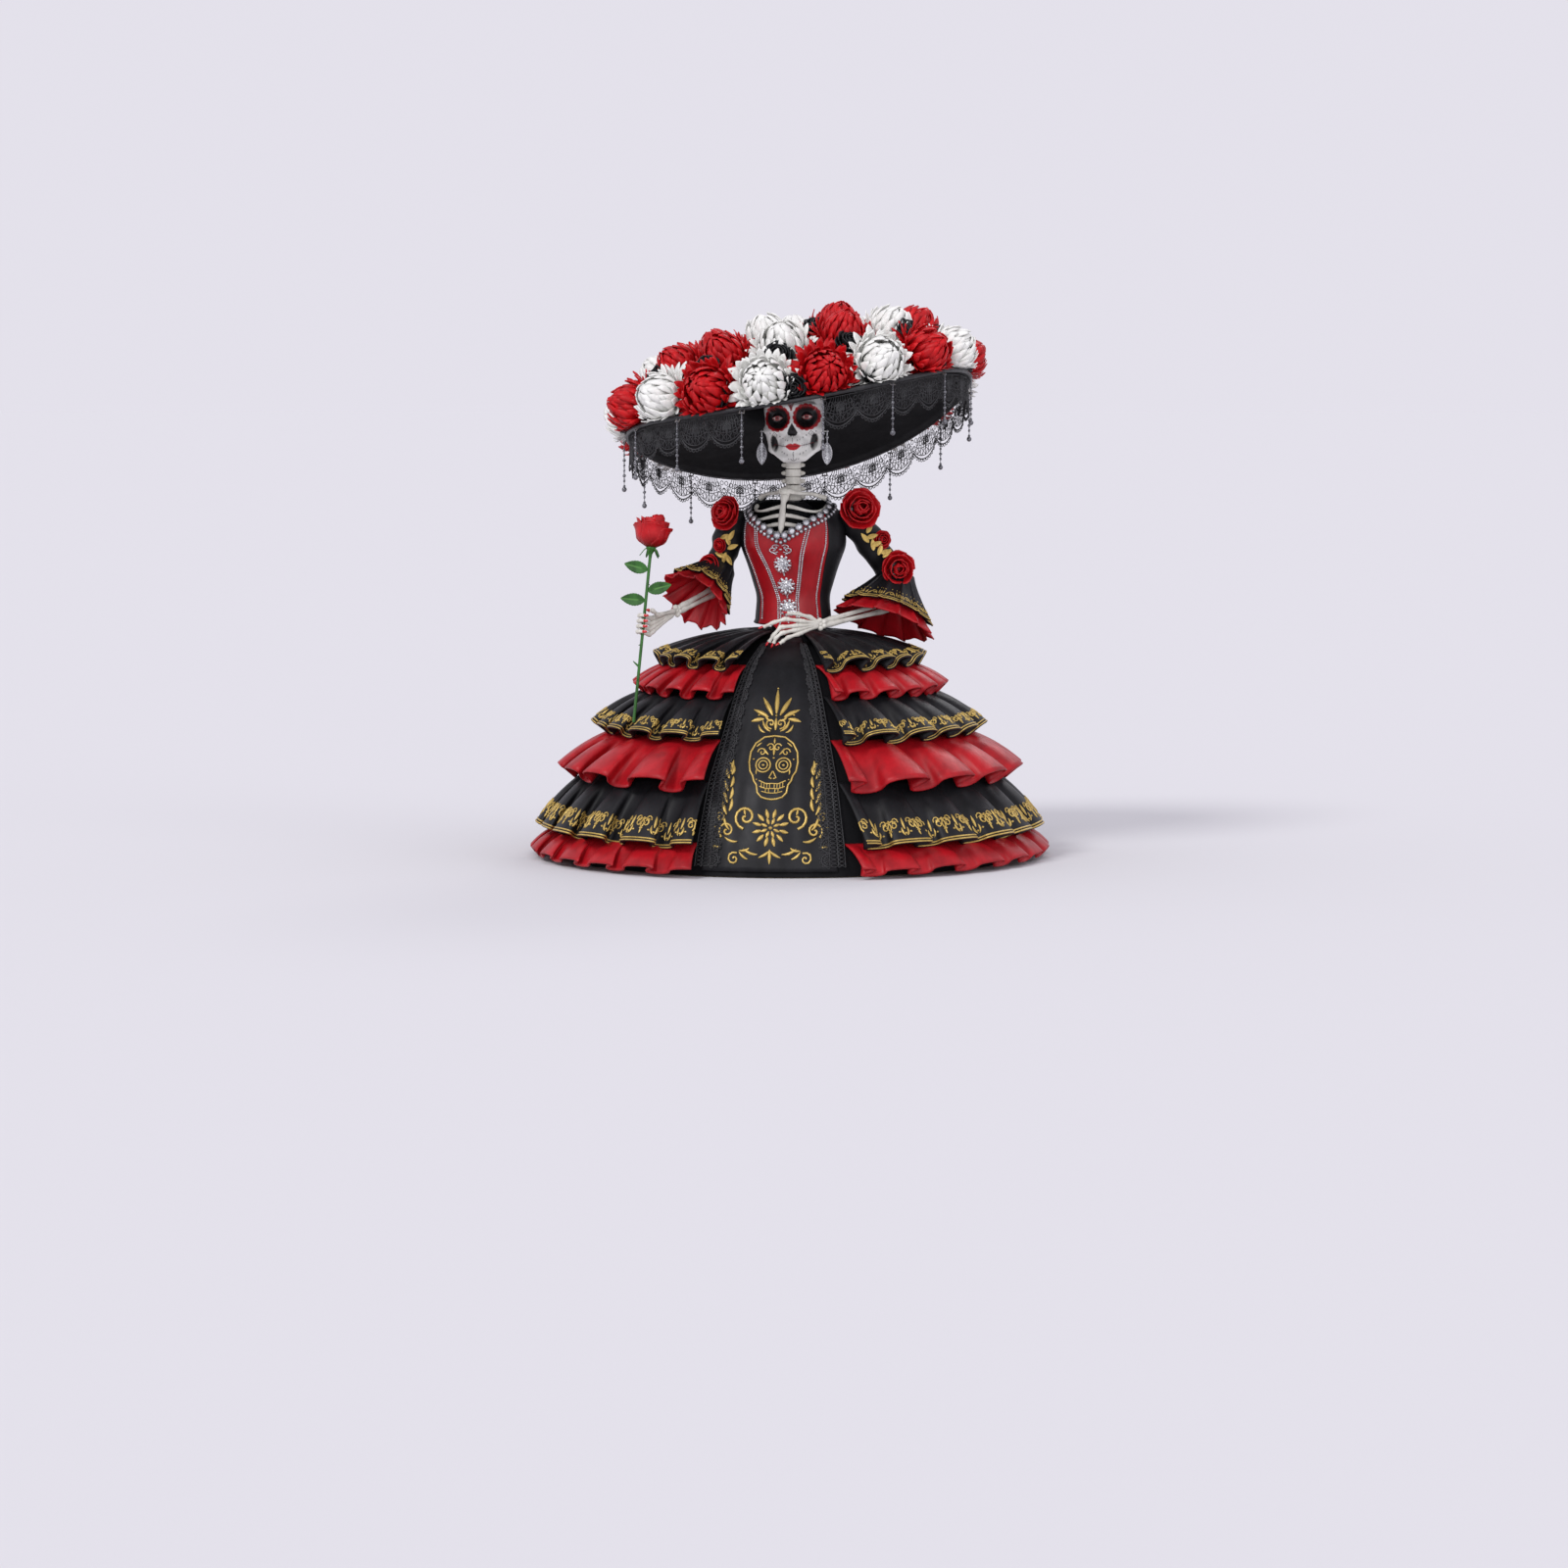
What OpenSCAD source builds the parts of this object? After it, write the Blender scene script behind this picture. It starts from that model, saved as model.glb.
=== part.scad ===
// Papier-mache catrina: a skeleton lady in a flounced dress, with a wide hat full of flowers.
// She faces -Y, her left hand is on the +X side and Z is up.
// The origin is the middle of the underside of the base. Sizes are in millimetres.

/* [Skirt] */
// Radius of the skirt shell at the floor
shell_foot_r = 199; // [192:1:206]
// Height of the waist, where the skirt shell ends
waist_z = 196; // [190:1:202]
// Thickness of the pasted-paper skirt shell
shell_wall = 3.4; // [2.4:0.2:4]
// Thickness of one flounce
flounce_wall = 1.6; // [1:0.2:2]
// Turn of the skirt's front from straight ahead, in degrees
skirt_turn = -5; // [-10:1:10]
// Half of the opening that the flounces leave at the front, in degrees
opening_half = 18.5; // [18:0.5:24]

/* [Bodice] */
// Thickness of the bodice shell
bodice_wall = 2.4; // [1.6:0.2:2.6]
// Half of the angle that the front piece of the bodice covers
bodice_split = 55; // [50:1:60]

/* [Head] */
// Radius of the cranium
cranium_r = 26; // [25:0.25:26]
// Radius of the hair cap
hair_r = 28.2; // [27.6:0.1:28.4]

/* [Hat] */
// Radius of the brim
brim_r = 149; // [146:1:150]
// How far the front of the hat tips up, in degrees
hat_tilt = 13; // [12:0.5:14]
// How far the hat leans to her right, in degrees
hat_roll = 10; // [8:0.5:11]
// Scallops of the brim lace
scallops = 28; // [28:2:32]
// Height of the flower mound over the brim
mound_h = 60; // [57:1:64]
// Radius of one chrysanthemum's bud
mum_r = 17.5; // [14:0.5:17.5]

/* [Rose in the hand] */
// Radius of the rose's stem
stem_r = 1.3; // [1:0.1:1.5]
// Radius of the rose's bloom
bloom_r = 17; // [14:0.5:18]

/* [Hidden] */
PENDANTS = [for (k = [1:15]) str("pendant_", k < 10 ? "0" : "", k)];
$fn = 48;

black = [0.06, 0.06, 0.07];
red = [0.68, 0.04, 0.06];
white = [0.88, 0.87, 0.84];
bone = [0.80, 0.77, 0.70];
silver = [0.75, 0.75, 0.78];
gold = [0.72, 0.55, 0.22];
green = [0.13, 0.33, 0.12];
board = [0.62, 0.50, 0.36];

// ---- Helpers ----
function lerp(a, b, t) = a + (b - a) * t;
function unit(v) = v / norm(v);
function flat(lists) = [for (l = lists) for (x = l) x];
// Turn a point about X or Y by an angle in degrees.
function turn_x(p, a) = [p[0], p[1] * cos(a) - p[2] * sin(a), p[1] * sin(a) + p[2] * cos(a)];
function turn_y(p, a) = [p[0] * cos(a) + p[2] * sin(a), p[1], p[2] * cos(a) - p[0] * sin(a)];

// A closed sheet between two grids of points. A grid is a list of columns, counter-clockwise from
// above, and each column runs from its top to its hem. A ring joins its last column to its first.
module sheet(outer, inner, ring = false) {
    n = len(outer);
    m = len(outer[0]);
    last = ring ? n : n - 1;
    shift = n * m;
    faces = concat(
        flat([for (i = [0:last - 1]) let (k = (i + 1) % n) flat([for (j = [0:m - 2])
            let (a = i * m + j, b = k * m + j)
            [[a, b, b + 1], [a, b + 1, a + 1],
             [shift + a, shift + b + 1, shift + b], [shift + a, shift + a + 1, shift + b + 1]]])]),
        flat([for (i = [0:last - 1]) let (k = (i + 1) % n, a = i * m, b = k * m, e = m - 1)
            [[a, shift + a, shift + b], [a, shift + b, b],
             [a + e, shift + b + e, shift + a + e], [a + e, b + e, shift + b + e]]]),
        ring ? [] : flat([for (j = [0:m - 2]) let (a = j, b = (n - 1) * m + j)
            [[a, a + 1, shift + a + 1], [a, shift + a + 1, shift + a],
             [b, shift + b + 1, b + 1], [b, shift + b, shift + b + 1]]]));
    polyhedron(concat(flat(outer), flat(inner)), faces, convexity = 6);
}

// A tube swept along points, with a radius at each point. The side vector sets how its rings lie.
module tube(points, radii, sides = 12, side = [0, 1, 0]) {
    n = len(points);
    turn = [for (j = [0:sides - 1]) 360 * j / sides];
    rings = [for (i = [0:n - 1])
        let (t = unit(points[min(i + 1, n - 1)] - points[max(i - 1, 0)]),
             u = unit(cross(side, t)),
             v = cross(t, u))
        [for (a = turn) points[i] + radii[i] * (u * cos(a) + v * sin(a))]];
    faces = flat([for (i = [0:n - 2]) flat([for (j = [0:sides - 1])
        let (a = i * sides + j, b = i * sides + (j + 1) % sides, c = b + sides, d = a + sides)
        [[a, d, c], [a, c, b]]])]);
    caps = [[for (j = [0:sides - 1]) j], [for (j = [sides - 1:-1:0]) (n - 1) * sides + j]];
    polyhedron(flat(rings), concat(faces, caps), convexity = 4);
}

// Stand children up along a direction, from a point.
module along(p, d) {
    translate(p) rotate([0, acos(d[2] / norm(d)), atan2(d[1], d[0])]) children();
}
// A straight round rod between two points.
module rod(a, b, r) {
    along(a, b - a) cylinder(r = r, h = norm(b - a), $fn = 16);
}
// ---- Skirt ----
// The shell's outline, from the waist to the foot, as radius and height.
skirt_outline = [[31, 196], [60, 184], [92, 168], [116, 145], [143, 110], [170, 74], [192, 26], [199, 0.8]];
shell_line = [for (p = skirt_outline) [p[0] * shell_foot_r / 199, p[1] * waist_z / 196]];
function shell_r(z) = lookup(z, [for (p = shell_line) [p[1], p[0]]]);
// The outward normal of the shell at a height, and a point of its outline pushed out along it.
function shell_out(z) =
    let (d = [shell_r(z - 3) - shell_r(z + 3), -6]) unit([-d[1], d[0]]);
function shell_off(z, off) = [shell_r(z), z] + off * shell_out(z);
skirt_front = -90 + skirt_turn;
base_h = 8;
post_r = 5;
post_bore = 5.1;
post_foot_z = 4;
neck_z = 306;

module base_disc() {
    foot_in = shell_foot_r - shell_wall - 0.3;
    inner_slope = 0.3;
    color(board) difference() {
        cylinder(r1 = foot_in, r2 = foot_in - base_h * inner_slope, h = base_h, $fn = 120);
        translate([spine[0], spine[1], post_foot_z]) cylinder(r = post_bore, h = base_h);
    }
}

module skirt_shell() {
    n = len(shell_line);
    inner = [for (i = [n - 1:-1:0]) [shell_line[i][0] - shell_wall, shell_line[i][1] - (i < n - 1 ? 2 : 0)]];
    color(board) rotate_extrude($fn = 120) polygon(concat(shell_line, inner));
}

// The plain panel that shows between the flounces.
panel_half = 16.5;
panel_top = 189;
panel_gap = 0.4;
panel_wall = 1.5;
module front_panel() {
    heights = concat([panel_top], [for (p = shell_line) if (p[1] < panel_top - 4 && p[1] > 10) p[1]], [5]);
    n = len(heights);
    profile = concat([for (z = heights) shell_off(z, panel_gap + panel_wall)],
        [for (i = [n - 1:-1:0]) shell_off(heights[i], panel_gap)]);
    color(black) rotate([0, 0, skirt_front - panel_half])
        rotate_extrude(angle = 2 * panel_half, $fn = 120) polygon(profile);
}

// Two strips of scalloped lace over the edges of the panel.
lace_in = 10.5;
lace_out = 17.8;
lace_rows = 19;
// A point of the strip on one side: row i runs down it, and j runs across it from 0 to 2.
function lace_pt(s, i, j, off) =
    let (z = lerp(186, 8, i / (lace_rows - 1)),
         a = skirt_front + s * lerp(lace_in + (i % 2) * 0.8, lace_out, j / 2),
         c = shell_off(z, off))
    [c[0] * cos(a), c[0] * sin(a), c[1]];
module panel_lace() {
    function grid(s, off) = [for (j = s > 0 ? [0, 1, 2] : [2, 1, 0])
        [for (i = [0:lace_rows - 1]) lace_pt(s, i, j, off)]];
    color(black) for (s = [-1, 1]) sheet(grid(s, 3.2), grid(s, 2.4));
}

// Each flounce: height of its top, radius and height of its hem, pleats and pleat depth.
flounces = [
    [194, 115, 172, 22, 4],
    [168, 132, 148, 30, 4.5],
    [144, 164, 114, 24, 5.5],
    [109, 194, 78, 20, 6],
    [76, 212, 29, 24, 5.5],
    [27, 223, 6.5, 28, 3.5]];
flounce_gap = 0.5;
flounce_bulge = 3;
flounce_rows = 3;
// A point of a flounce: t runs from its top to its hem, and w is the pleat, from -1 to 1.
function flounce_pt(f, a, t, w, off) =
    let (top = shell_off(f[0], flounce_gap + flounce_wall),
         hem = [f[1], f[2]],
         out = unit([top[1] - hem[1], hem[0] - top[0]]),
         c = lerp(top, hem, t) + out * (w * f[4] * t * t + flounce_bulge * 4 * t * (1 - t) + off))
    [c[0] * cos(a), c[0] * sin(a), c[1]];
module flounce(k) {
    f = flounces[k];
    start = skirt_front + opening_half;
    sweep = 360 - 2 * opening_half;
    n = f[3] * 4;
    wave = [0, 1, 0, -1];
    function grid(off) = [for (i = [0:n]) [for (j = [0:flounce_rows - 1])
        flounce_pt(f, start + sweep * i / n, j / (flounce_rows - 1), wave[i % 4], off)]];
    sheet(grid(0), grid(-flounce_wall));
}
module ruffle_1_black() { color(black) flounce(0); }
module ruffle_2_red() { color(red) flounce(1); }
module ruffle_3_black() { color(black) flounce(2); }
module ruffle_4_red() { color(red) flounce(3); }
module ruffle_5_black() { color(black) flounce(4); }
module ruffle_6_red() { color(red) flounce(5); }

// ---- Torso ----
spine = [3, 2];
// Half width and half depth of the dress at each height, and how far she turns to her right.
dress_a = [[180, 35], [200, 33.5], [224, 31.5], [248, 39], [268, 47], [286, 46], [300, 40], [310, 26]];
dress_b = [[184, 32], [200, 28.5], [226, 25.5], [250, 31], [271, 35], [290, 34], [303, 26], [312, 18]];
dress_yaw = [[186, -6], [220, -10], [260, -18]];
bust_rise = 6;
function bust(th, z) = bust_rise * exp(-pow((abs(th) - 30) / 16, 2)) * exp(-pow((z - 268) / 14, 2));
// A point of the dress: th is measured from her front, towards her left.
function dress_pt(th, z, off = 0) =
    let (yaw = lookup(z, dress_yaw),
         x = (lookup(z, dress_a) + off) * sin(th),
         y = -(lookup(z, dress_b) + off + bust(th, z)) * cos(th))
    [spine[0] + x * cos(yaw) - y * sin(yaw), spine[1] + x * sin(yaw) + y * cos(yaw), z];
// Below the waist the front point of the bodice lies over the skirt panel.
point_lift = 2.6;
function bodice_pt(th, z, off) =
    let (dress = dress_pt(th, z, off),
         c = shell_off(min(z, 193), point_lift + bodice_wall + off),
         a = skirt_front + th,
         apron = [c[0] * cos(a), c[0] * sin(a), c[1]])
    lerp(dress, apron, min(1, max(0, (203 - z) / 8)));
function neckline(th) = lookup(abs(th), [[0, 274], [30, 288], [70, 301], [90, 306], [120, 307], [180, 307]]);
function waistline(th) = lookup(abs(th), [[0, 189], [8, 193], [16, 200], [24, 202], [180, 202]]);
bodice_rows = 9;
function bodice_grid(angles, off) = [for (th = angles) [for (j = [0:bodice_rows - 1])
    bodice_pt(th, lerp(neckline(th), waistline(th), j / (bodice_rows - 1)), off)]];
module bodice_shell(angles) {
    sheet(bodice_grid(angles, 0), bodice_grid(angles, -bodice_wall));
}
module bodice_front() {
    color(red) bodice_shell([for (i = [-7:7]) bodice_split * i / 7]);
}
module bodice_back() {
    seam = 0.8;
    half = 180 - bodice_split - seam;
    color(black) bodice_shell([for (i = [-9:9]) 180 + half * i / 9]);
}

// Silver braids down the seams and edges of the front piece.
trim_r = 1;
trim_steps = 10;
module trim(top_th, low_th) {
    points = [for (i = [0:trim_steps])
        let (t = i / trim_steps,
             th = lerp(top_th, low_th, min(1, t * 1.3)),
             z = lerp(neckline(top_th) - 3, waistline(low_th) + 3, t))
        bodice_pt(th, z, 0.4)];
    tube(points, [for (p = points) trim_r], 6);
}
module bodice_trims() {
    color(silver) for (s = [-1, 1]) {
        trim(s * 31, s * 14);
        trim(s * 53, s * 47);
    }
}

brooch_heights = [253, 234, 215];
module brooches() {
    color(silver) for (z = brooch_heights) {
        foot = dress_pt(0, z, -0.3);
        along(foot, dress_pt(0, z, 1) - foot) {
            cylinder(r = 6, h = 1.6);
            translate([0, 0, 1.6]) cylinder(r1 = 4, r2 = 2, h = 1.4);
        }
    }
}

// Round medallions along the neckline, over the shoulders and down to the point.
medallion_r = 3.1;
collar_half = 118;
collar_count = 17;
function collar_pt(th, off) = dress_pt(th, neckline(th) + 1, off);
module medallion(th) {
    foot = collar_pt(th, -1);
    along(foot, collar_pt(th, 2) - foot) cylinder(r = medallion_r, h = 3.6, $fn = 24);
}
module collar() {
    color(silver) for (i = [-collar_count:collar_count]) medallion(collar_half * i / collar_count);
}

module torso_core() {
    color(black) difference() {
        translate([spine[0], spine[1], 0]) rotate_extrude()
            polygon([[0, 186], [38, 186], [38, 188], [19, 192], [18, 225], [20, 262], [23, 285], [20, 298],
                [11, 305], [0, neck_z]]);
        translate([spine[0], spine[1], 180]) cylinder(r = post_bore, h = 140);
    }
}

// ---- Chest and neck ----
rib_r = 1.7;
rib_heights = [302, 294.5, 287, 279.5];
module rib(z, reach, drop) {
    for (s = [-1, 1]) {
        turns = [for (i = [0:6]) s * lerp(3, 100, i / 6)];
        tube([for (th = turns) dress_pt(th, z - drop * pow(sin(2 * th), 2), -lookup(z, reach))],
            [for (th = turns) rib_r], 8, [0, 0, 1]);
    }
}
sternum_top = [-4.5, -16, 315];
sternum_low = [-8, -28, 279];
module rib_cage() {
    reach = [[279, 5.5], [302, 5]];
    color(bone) {
        for (z = rib_heights) rib(z, reach, 3);
        tube([for (t = [0, 0.25, 0.7, 1]) lerp(sternum_top, sternum_low, t)], [4, 2.8, 3.4, 1.6],
            10, [1, 0, 0]);
        for (s = [-1, 1]) {
            tip = dress_pt(s * 88, 307, -1);
            clavicle = [sternum_top, lerp(sternum_top, tip, 0.35) + [0, -2.5, 1.5],
                lerp(sternum_top, tip, 0.7) + [0, 0, 2.5], tip + [0, 0, 2]];
            tube(clavicle, [1.8, 1.7, 1.7, 2], 8, [0, 0, 1]);
        }
    }
}

pin_r = 2;
vertebra_count = 5;
vertebra_pitch = 6.9;
module neck_vertebrae() {
    color(bone) for (i = [0:vertebra_count - 1])
        translate([spine[0], spine[1], neck_z + 0.4 + i * vertebra_pitch]) difference() {
            union() {
                cylinder(r = 7.6, h = 1.8);
                translate([0, 0, 1.8]) cylinder(r = 6.6, h = 2);
                translate([0, 0, 3.8]) cylinder(r = 7.6, h = 1.8);
            }
            translate([0, 0, -1]) cylinder(r = pin_r + 0.1, h = 8);
        }
}

shoulder_left = [47, -8, 298];
shoulder_right = [-44, 14, 297];
elbow_left = [94, 12, 226];
elbow_right = [-62, 10, 232];
wrist_left = [27, -60, 203];
wrist_right = [-96, -46, 214];
// The wooden post with the neck pin on it, and a bent wire beside it for each arm.
wire_r = 1;
wire_z = 296;
module arm_wire(shoulder, elbow) {
    middle = [spine[0], spine[1], wire_z];
    root = middle + (post_r + wire_r + 0.5) * unit(shoulder - middle);
    tube([root, shoulder, elbow], [wire_r, wire_r, wire_r], 8);
}
module armature() {
    color(silver) {
        translate([spine[0], spine[1], post_foot_z]) cylinder(r = post_r, h = neck_z - post_foot_z);
        translate([spine[0], spine[1], neck_z]) cylinder(r = pin_r, h = 74);
        arm_wire(shoulder_left, elbow_left);
        arm_wire(shoulder_right, elbow_right);
    }
}

// ---- Head ----
skull_at = [4, -1, 375];
head_turn = -6;
head_roll = -3;
cranium_at = [0, 3, 10];
ear_x = 21;
ear_z = 366;
ear_y = 2;
ear_pin_r = 0.6;
eye_x = 11.5;
eye_y = -13.6;
eye_r = 5.2;
module head_frame() {
    translate(skull_at) rotate([0, head_roll, head_turn]) children();
}
module skull() {
    socket_r = 8.5;
    color(white) {
        difference() {
            head_frame() difference() {
                union() {
                    translate(cranium_at) sphere(r = cranium_r, $fn = 64);
                    translate([0, -4, 0]) rotate_extrude()
                        polygon([[0, -33], [9, -33], [17, -25], [21.5, -12], [23, 2], [20, 8], [0, 8]]);
                }
                for (s = [-1, 1]) {
                    translate([s * eye_x, -22, 3]) sphere(r = socket_r);
                    translate([s * eye_x, eye_y, 3]) sphere(r = eye_r + 0.1);
                    translate([s * 20, -14, -17]) sphere(r = 6.5);
                }
                translate([0, -28, -8]) sphere(r = 5.5);
            }
            translate([spine[0], spine[1], 330]) cylinder(r = pin_r + 0.1, h = 50.2);
        }
        for (s = [-1, 1]) translate([skull_at[0] + s * ear_x, ear_y, ear_z]) rotate([0, s * 90, 0]) {
            translate([0, 0, -6]) cylinder(r = 5, h = 8);
            cylinder(r = ear_pin_r, h = 8.4, $fn = 24);
        }
    }
}
module eyes() {
    color(bone) head_frame() for (s = [-1, 1]) translate([s * eye_x, eye_y, 3]) sphere(r = eye_r);
}
// The hair is a cap over the back of the cranium, behind the ears.
module hair() {
    inner_r = cranium_r + 0.3;
    behind = 15;
    low = -42;
    arc = [for (i = [0:12]) lerp(low, 90, i / 12)];
    outer_line = [for (e = arc) hair_r * [cos(e), sin(e)]];
    inner_line = [for (i = [12:-1:0]) inner_r * [cos(arc[i]), sin(arc[i])]];
    color(black) head_frame() translate(cranium_at) rotate([0, 0, behind])
        rotate_extrude(angle = 180 - 2 * behind, $fn = 64) polygon(concat(outer_line, inner_line));
}

// An earring hangs from its ear pin and swings about X.
earring_x = 26.5;
ring_tube = 0.5;
running_gap = 0.1;
module earring(s) {
    bore = ear_pin_r + running_gap;
    leaf_half = 4.3;
    leaf_h = 19;
    leaf_r = (leaf_h * leaf_h / 4 + leaf_half * leaf_half) / (2 * leaf_half);
    color(silver) translate([skull_at[0] + s * earring_x, ear_y, ear_z]) {
        rotate([0, 90, 0]) rotate_extrude($fn = 24) translate([bore + ring_tube, 0]) circle(r = ring_tube);
        translate([0, 0, -10]) cylinder(r = 0.45, h = 8.8);
        translate([0, 0, -5]) sphere(r = 1.3, $fn = 20);
        translate([0, 0, -9.5 - leaf_h / 2]) rotate([90, 0, 0]) linear_extrude(1.6, center = true)
            intersection() {
                translate([leaf_half - leaf_r, 0]) circle(r = leaf_r, $fn = 96);
                translate([leaf_r - leaf_half, 0]) circle(r = leaf_r, $fn = 96);
            }
    }
}
module earring_left() { earring(1); }
module earring_right() { earring(-1); }

// ---- Arms ----
module sleeve(from, to, bend) {
    steps = 6;
    points = [for (i = [0:steps]) let (t = i / steps) lerp(from, to, t) + bend * 4 * t * (1 - t)];
    radii = [9, 13.5, 14, 13.2, 12.4, 11.6, 10.5];
    tube(points, radii, 14);
}
module sleeve_left() { color(black) sleeve(shoulder_left, elbow_left, [3, 0, 3]); }
module sleeve_right() { color(black) sleeve(shoulder_right, elbow_right, [-3, 0, 1]); }

// A pleated bell cuff about an axis, from its narrow end to its mouth.
cuff_wall = 1.4;
cuff_pleats = 12;
module cuff(apex, dir, start, length, throat, mouth, depth) {
    n = cuff_pleats * 4;
    rows = 3;
    wave = [0, 1, 0, -1];
    function grid(off) = [for (i = [0:n - 1]) [for (j = [0:rows - 1])
        let (t = j / (rows - 1),
             r = lerp(throat, mouth, pow(t, 1.25)) + wave[i % 4] * depth * t + off,
             a = 360 * i / n)
        [r * cos(a), r * sin(a), -start - length * t]]];
    along(apex, -dir) sheet(grid(0), grid(-cuff_wall), true);
}
cuff_left_at = [94, 6, 243];
cuff_left_dir = [-0.28, -0.29, -0.915];
cuff_right_at = [-60, 10, 248];
cuff_right_dir = [-0.50, -0.60, -0.62];
module cuff_left_black() { color(black) cuff(cuff_left_at, cuff_left_dir, 0, 35, 15, 39, 3); }
module cuff_left_red() { color(red) cuff(cuff_left_at, cuff_left_dir, 12, 34, 15, 43, 3.4); }
module cuff_right_black() { color(black) cuff(cuff_right_at, cuff_right_dir, 0, 34, 14.5, 29, 2.6); }
module cuff_right_red() { color(red) cuff(cuff_right_at, cuff_right_dir, 12, 33, 14.5, 32, 2.8); }

// A skeleton's hand on two forearm bones. Each finger is a list of joints, and swells at each.
finger_r = 1.2;
knuckle_r = 1.75;
module digit(joints, side = [0, 1, 0]) {
    n = len(joints);
    halves = [for (i = [0:n - 2]) [joints[i], lerp(joints[i], joints[i + 1], 0.5)]];
    route = concat(flat(halves), [joints[n - 1]]);
    tube(route, [for (i = [0:2 * n - 2]) i % 2 == 0 ? knuckle_r : finger_r], 6, side);
}
module forearm(elbow, wrist) {
    apart = [0, 1.6, 3];
    tube([elbow + apart, lerp(elbow, wrist, 0.5) + apart, wrist + apart / 2], [2.2, 1.7, 2.4], 8);
    tube([elbow - apart, lerp(elbow, wrist, 0.5) - apart, wrist - apart / 2], [2.2, 1.7, 2.4], 8);
    translate(wrist) sphere(r = 4.4, $fn = 24);
}
module hand_left() {
    fingers = [
        [[9, -67, 206], [-4, -71, 208], [-14, -73, 205], [-23, -73, 201]],
        [[6, -68, 202], [-8, -72, 201], [-14, -73, 194], [-18, -73, 188]],
        [[5, -68, 198.5], [-7, -72, 196], [-12, -73, 192], [-14, -73, 187]],
        [[7, -67, 195], [-2, -70, 192], [-6, -72, 189], [-9, -73, 187]],
        [[17, -63, 209], [7, -68, 212], [-3, -72, 213]]];
    color(white) {
        forearm([88, 4, 216], wrist_left);
        for (f = fingers) digit(concat([wrist_left], f));
    }
}
// The right hand closes around the stem of the rose without touching it.
grip = [-124, -84, 204];
stem_foot = [-132, -98, 122];
stem_dir = unit(grip - stem_foot);
finger_clear = 4.5;
// The way from the stem back to the wrist, square to the stem, and the way across it.
to_wrist = let (w = wrist_right - grip) unit(w - (w * stem_dir) * stem_dir);
across = cross(stem_dir, to_wrist);
function round_stem(a, h, r = finger_clear) = grip + stem_dir * h + r * (to_wrist * cos(a) + across * sin(a));
module hand_right() {
    palm_r = 14;
    color(white) {
        forearm([-62, 4, 230], wrist_right);
        for (h = [7.2, 2.6, -2, -6.6])
            digit(concat([wrist_right, round_stem(14, h, palm_r)],
                [for (a = [55, 115, 170, 222]) round_stem(a, h)]), stem_dir);
        thumb = [round_stem(-18, 10, palm_r), round_stem(-45, 12.5, 6.5), round_stem(-100, 12, 4.8)];
        digit(concat([wrist_right], thumb), stem_dir);
    }
}

// A rose as a low bun with a raised heart.
module rosette(r) {
    outline = [[0, 0], [0.6, 0], [1, 0.22], [0.92, 0.45], [0.62, 0.5], [0.66, 0.68], [0.36, 0.86], [0, 0.86]];
    rotate_extrude($fn = 32) polygon(r * outline);
}
// Roses sewn on the sleeves: a point on the sleeve's skin, the way the rose looks, and its radius.
sleeve_rose_list = [
    [[58, -20, 298], [0.25, -0.93, 0.25], 19],
    [[79, -11, 273], [0.25, -0.95, 0.1], 8.5],
    [[92, -9, 248], [0.2, -0.97, 0], 16],
    [[-52, -2, 295], [-0.55, -0.8, 0.2], 16],
    [[-59, -2, 268], [-0.6, -0.8, 0], 7],
    [[-66, 0, 250], [-0.65, -0.75, 0], 12]];
module sleeve_roses() {
    color(red) for (f = sleeve_rose_list) along(f[0], f[1]) rosette(f[2]);
}

// A pointed leaf lying in the XY plane, with its foot at the origin.
module leaf(length, width, thick) {
    r = (length * length / 4 + width * width / 4) / width;
    linear_extrude(thick) translate([length / 2, 0]) intersection() {
        translate([0, r - width / 2]) circle(r = r, $fn = 96);
        translate([0, width / 2 - r]) circle(r = r, $fn = 96);
    }
}
// Gold leaves by the sleeve roses: where each stands, the way it faces and how it is turned.
sleeve_leaf_list = [
    [[66, -22.5, 279], 60], [[70, -21, 268], 20], [[76, -19, 260], 70],
    [[68, -22, 271], 130], [[78, -18.5, 262], 10],
    [[-52, -5, 277], 200], [[-55, -5.5, 262], 250], [[-52, -5.5, 268], 110], [[-56, -5, 258], 160]];
module sleeve_leaves() {
    color(gold) for (f = sleeve_leaf_list)
        translate(f[0]) rotate([90, 0, f[0][0] < 0 ? -25 : 12]) rotate([0, 0, f[1]]) leaf(11, 4.4, 1);
}

// ---- Hat ----
hat_at = [10, -12, 373.5];
saddle_rise = 13;
// The brim rises at its sides and falls at its front and back.
function saddle(r, a) = saddle_rise * pow(r / 150, 2) * cos(2 * a);
// A point of the hat from its own frame, given as radius, angle and height over the brim's plane.
function hat_pt(r, a, z) =
    hat_at + turn_y(turn_x([r * cos(a), r * sin(a), z + saddle(r, a)], -hat_tilt), -hat_roll);
hat_stations = 40;
crown_top = [[3, 47.8], [30, 47.4], [42, 42], [48.5, 30], [52, 18.5]];
crown_under = [[3, 45.4], [29, 45.2], [40, 39.6], [46, 28.4], [49.5, 16]];
// The brim's slope from the crown to the rim, and its thickness.
function brim_line(from, rim_z, steps) = [for (i = [1:steps]) let (t = i / steps)
    [lerp(from[0], brim_r, t), lerp(from[1], rim_z, 1 - pow(1 - t, 1.15))]];
module hat_brim() {
    steps = 4;
    function grid(line) = [for (i = [0:hat_stations - 1])
        [for (p = line) hat_pt(p[0], 360 * i / hat_stations, p[1])]];
    color(black) sheet(grid(concat(crown_top, brim_line(crown_top[4], 0.5, steps))),
        grid(concat(crown_under, brim_line(crown_under[4], -1.9, steps))), true);
}

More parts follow.
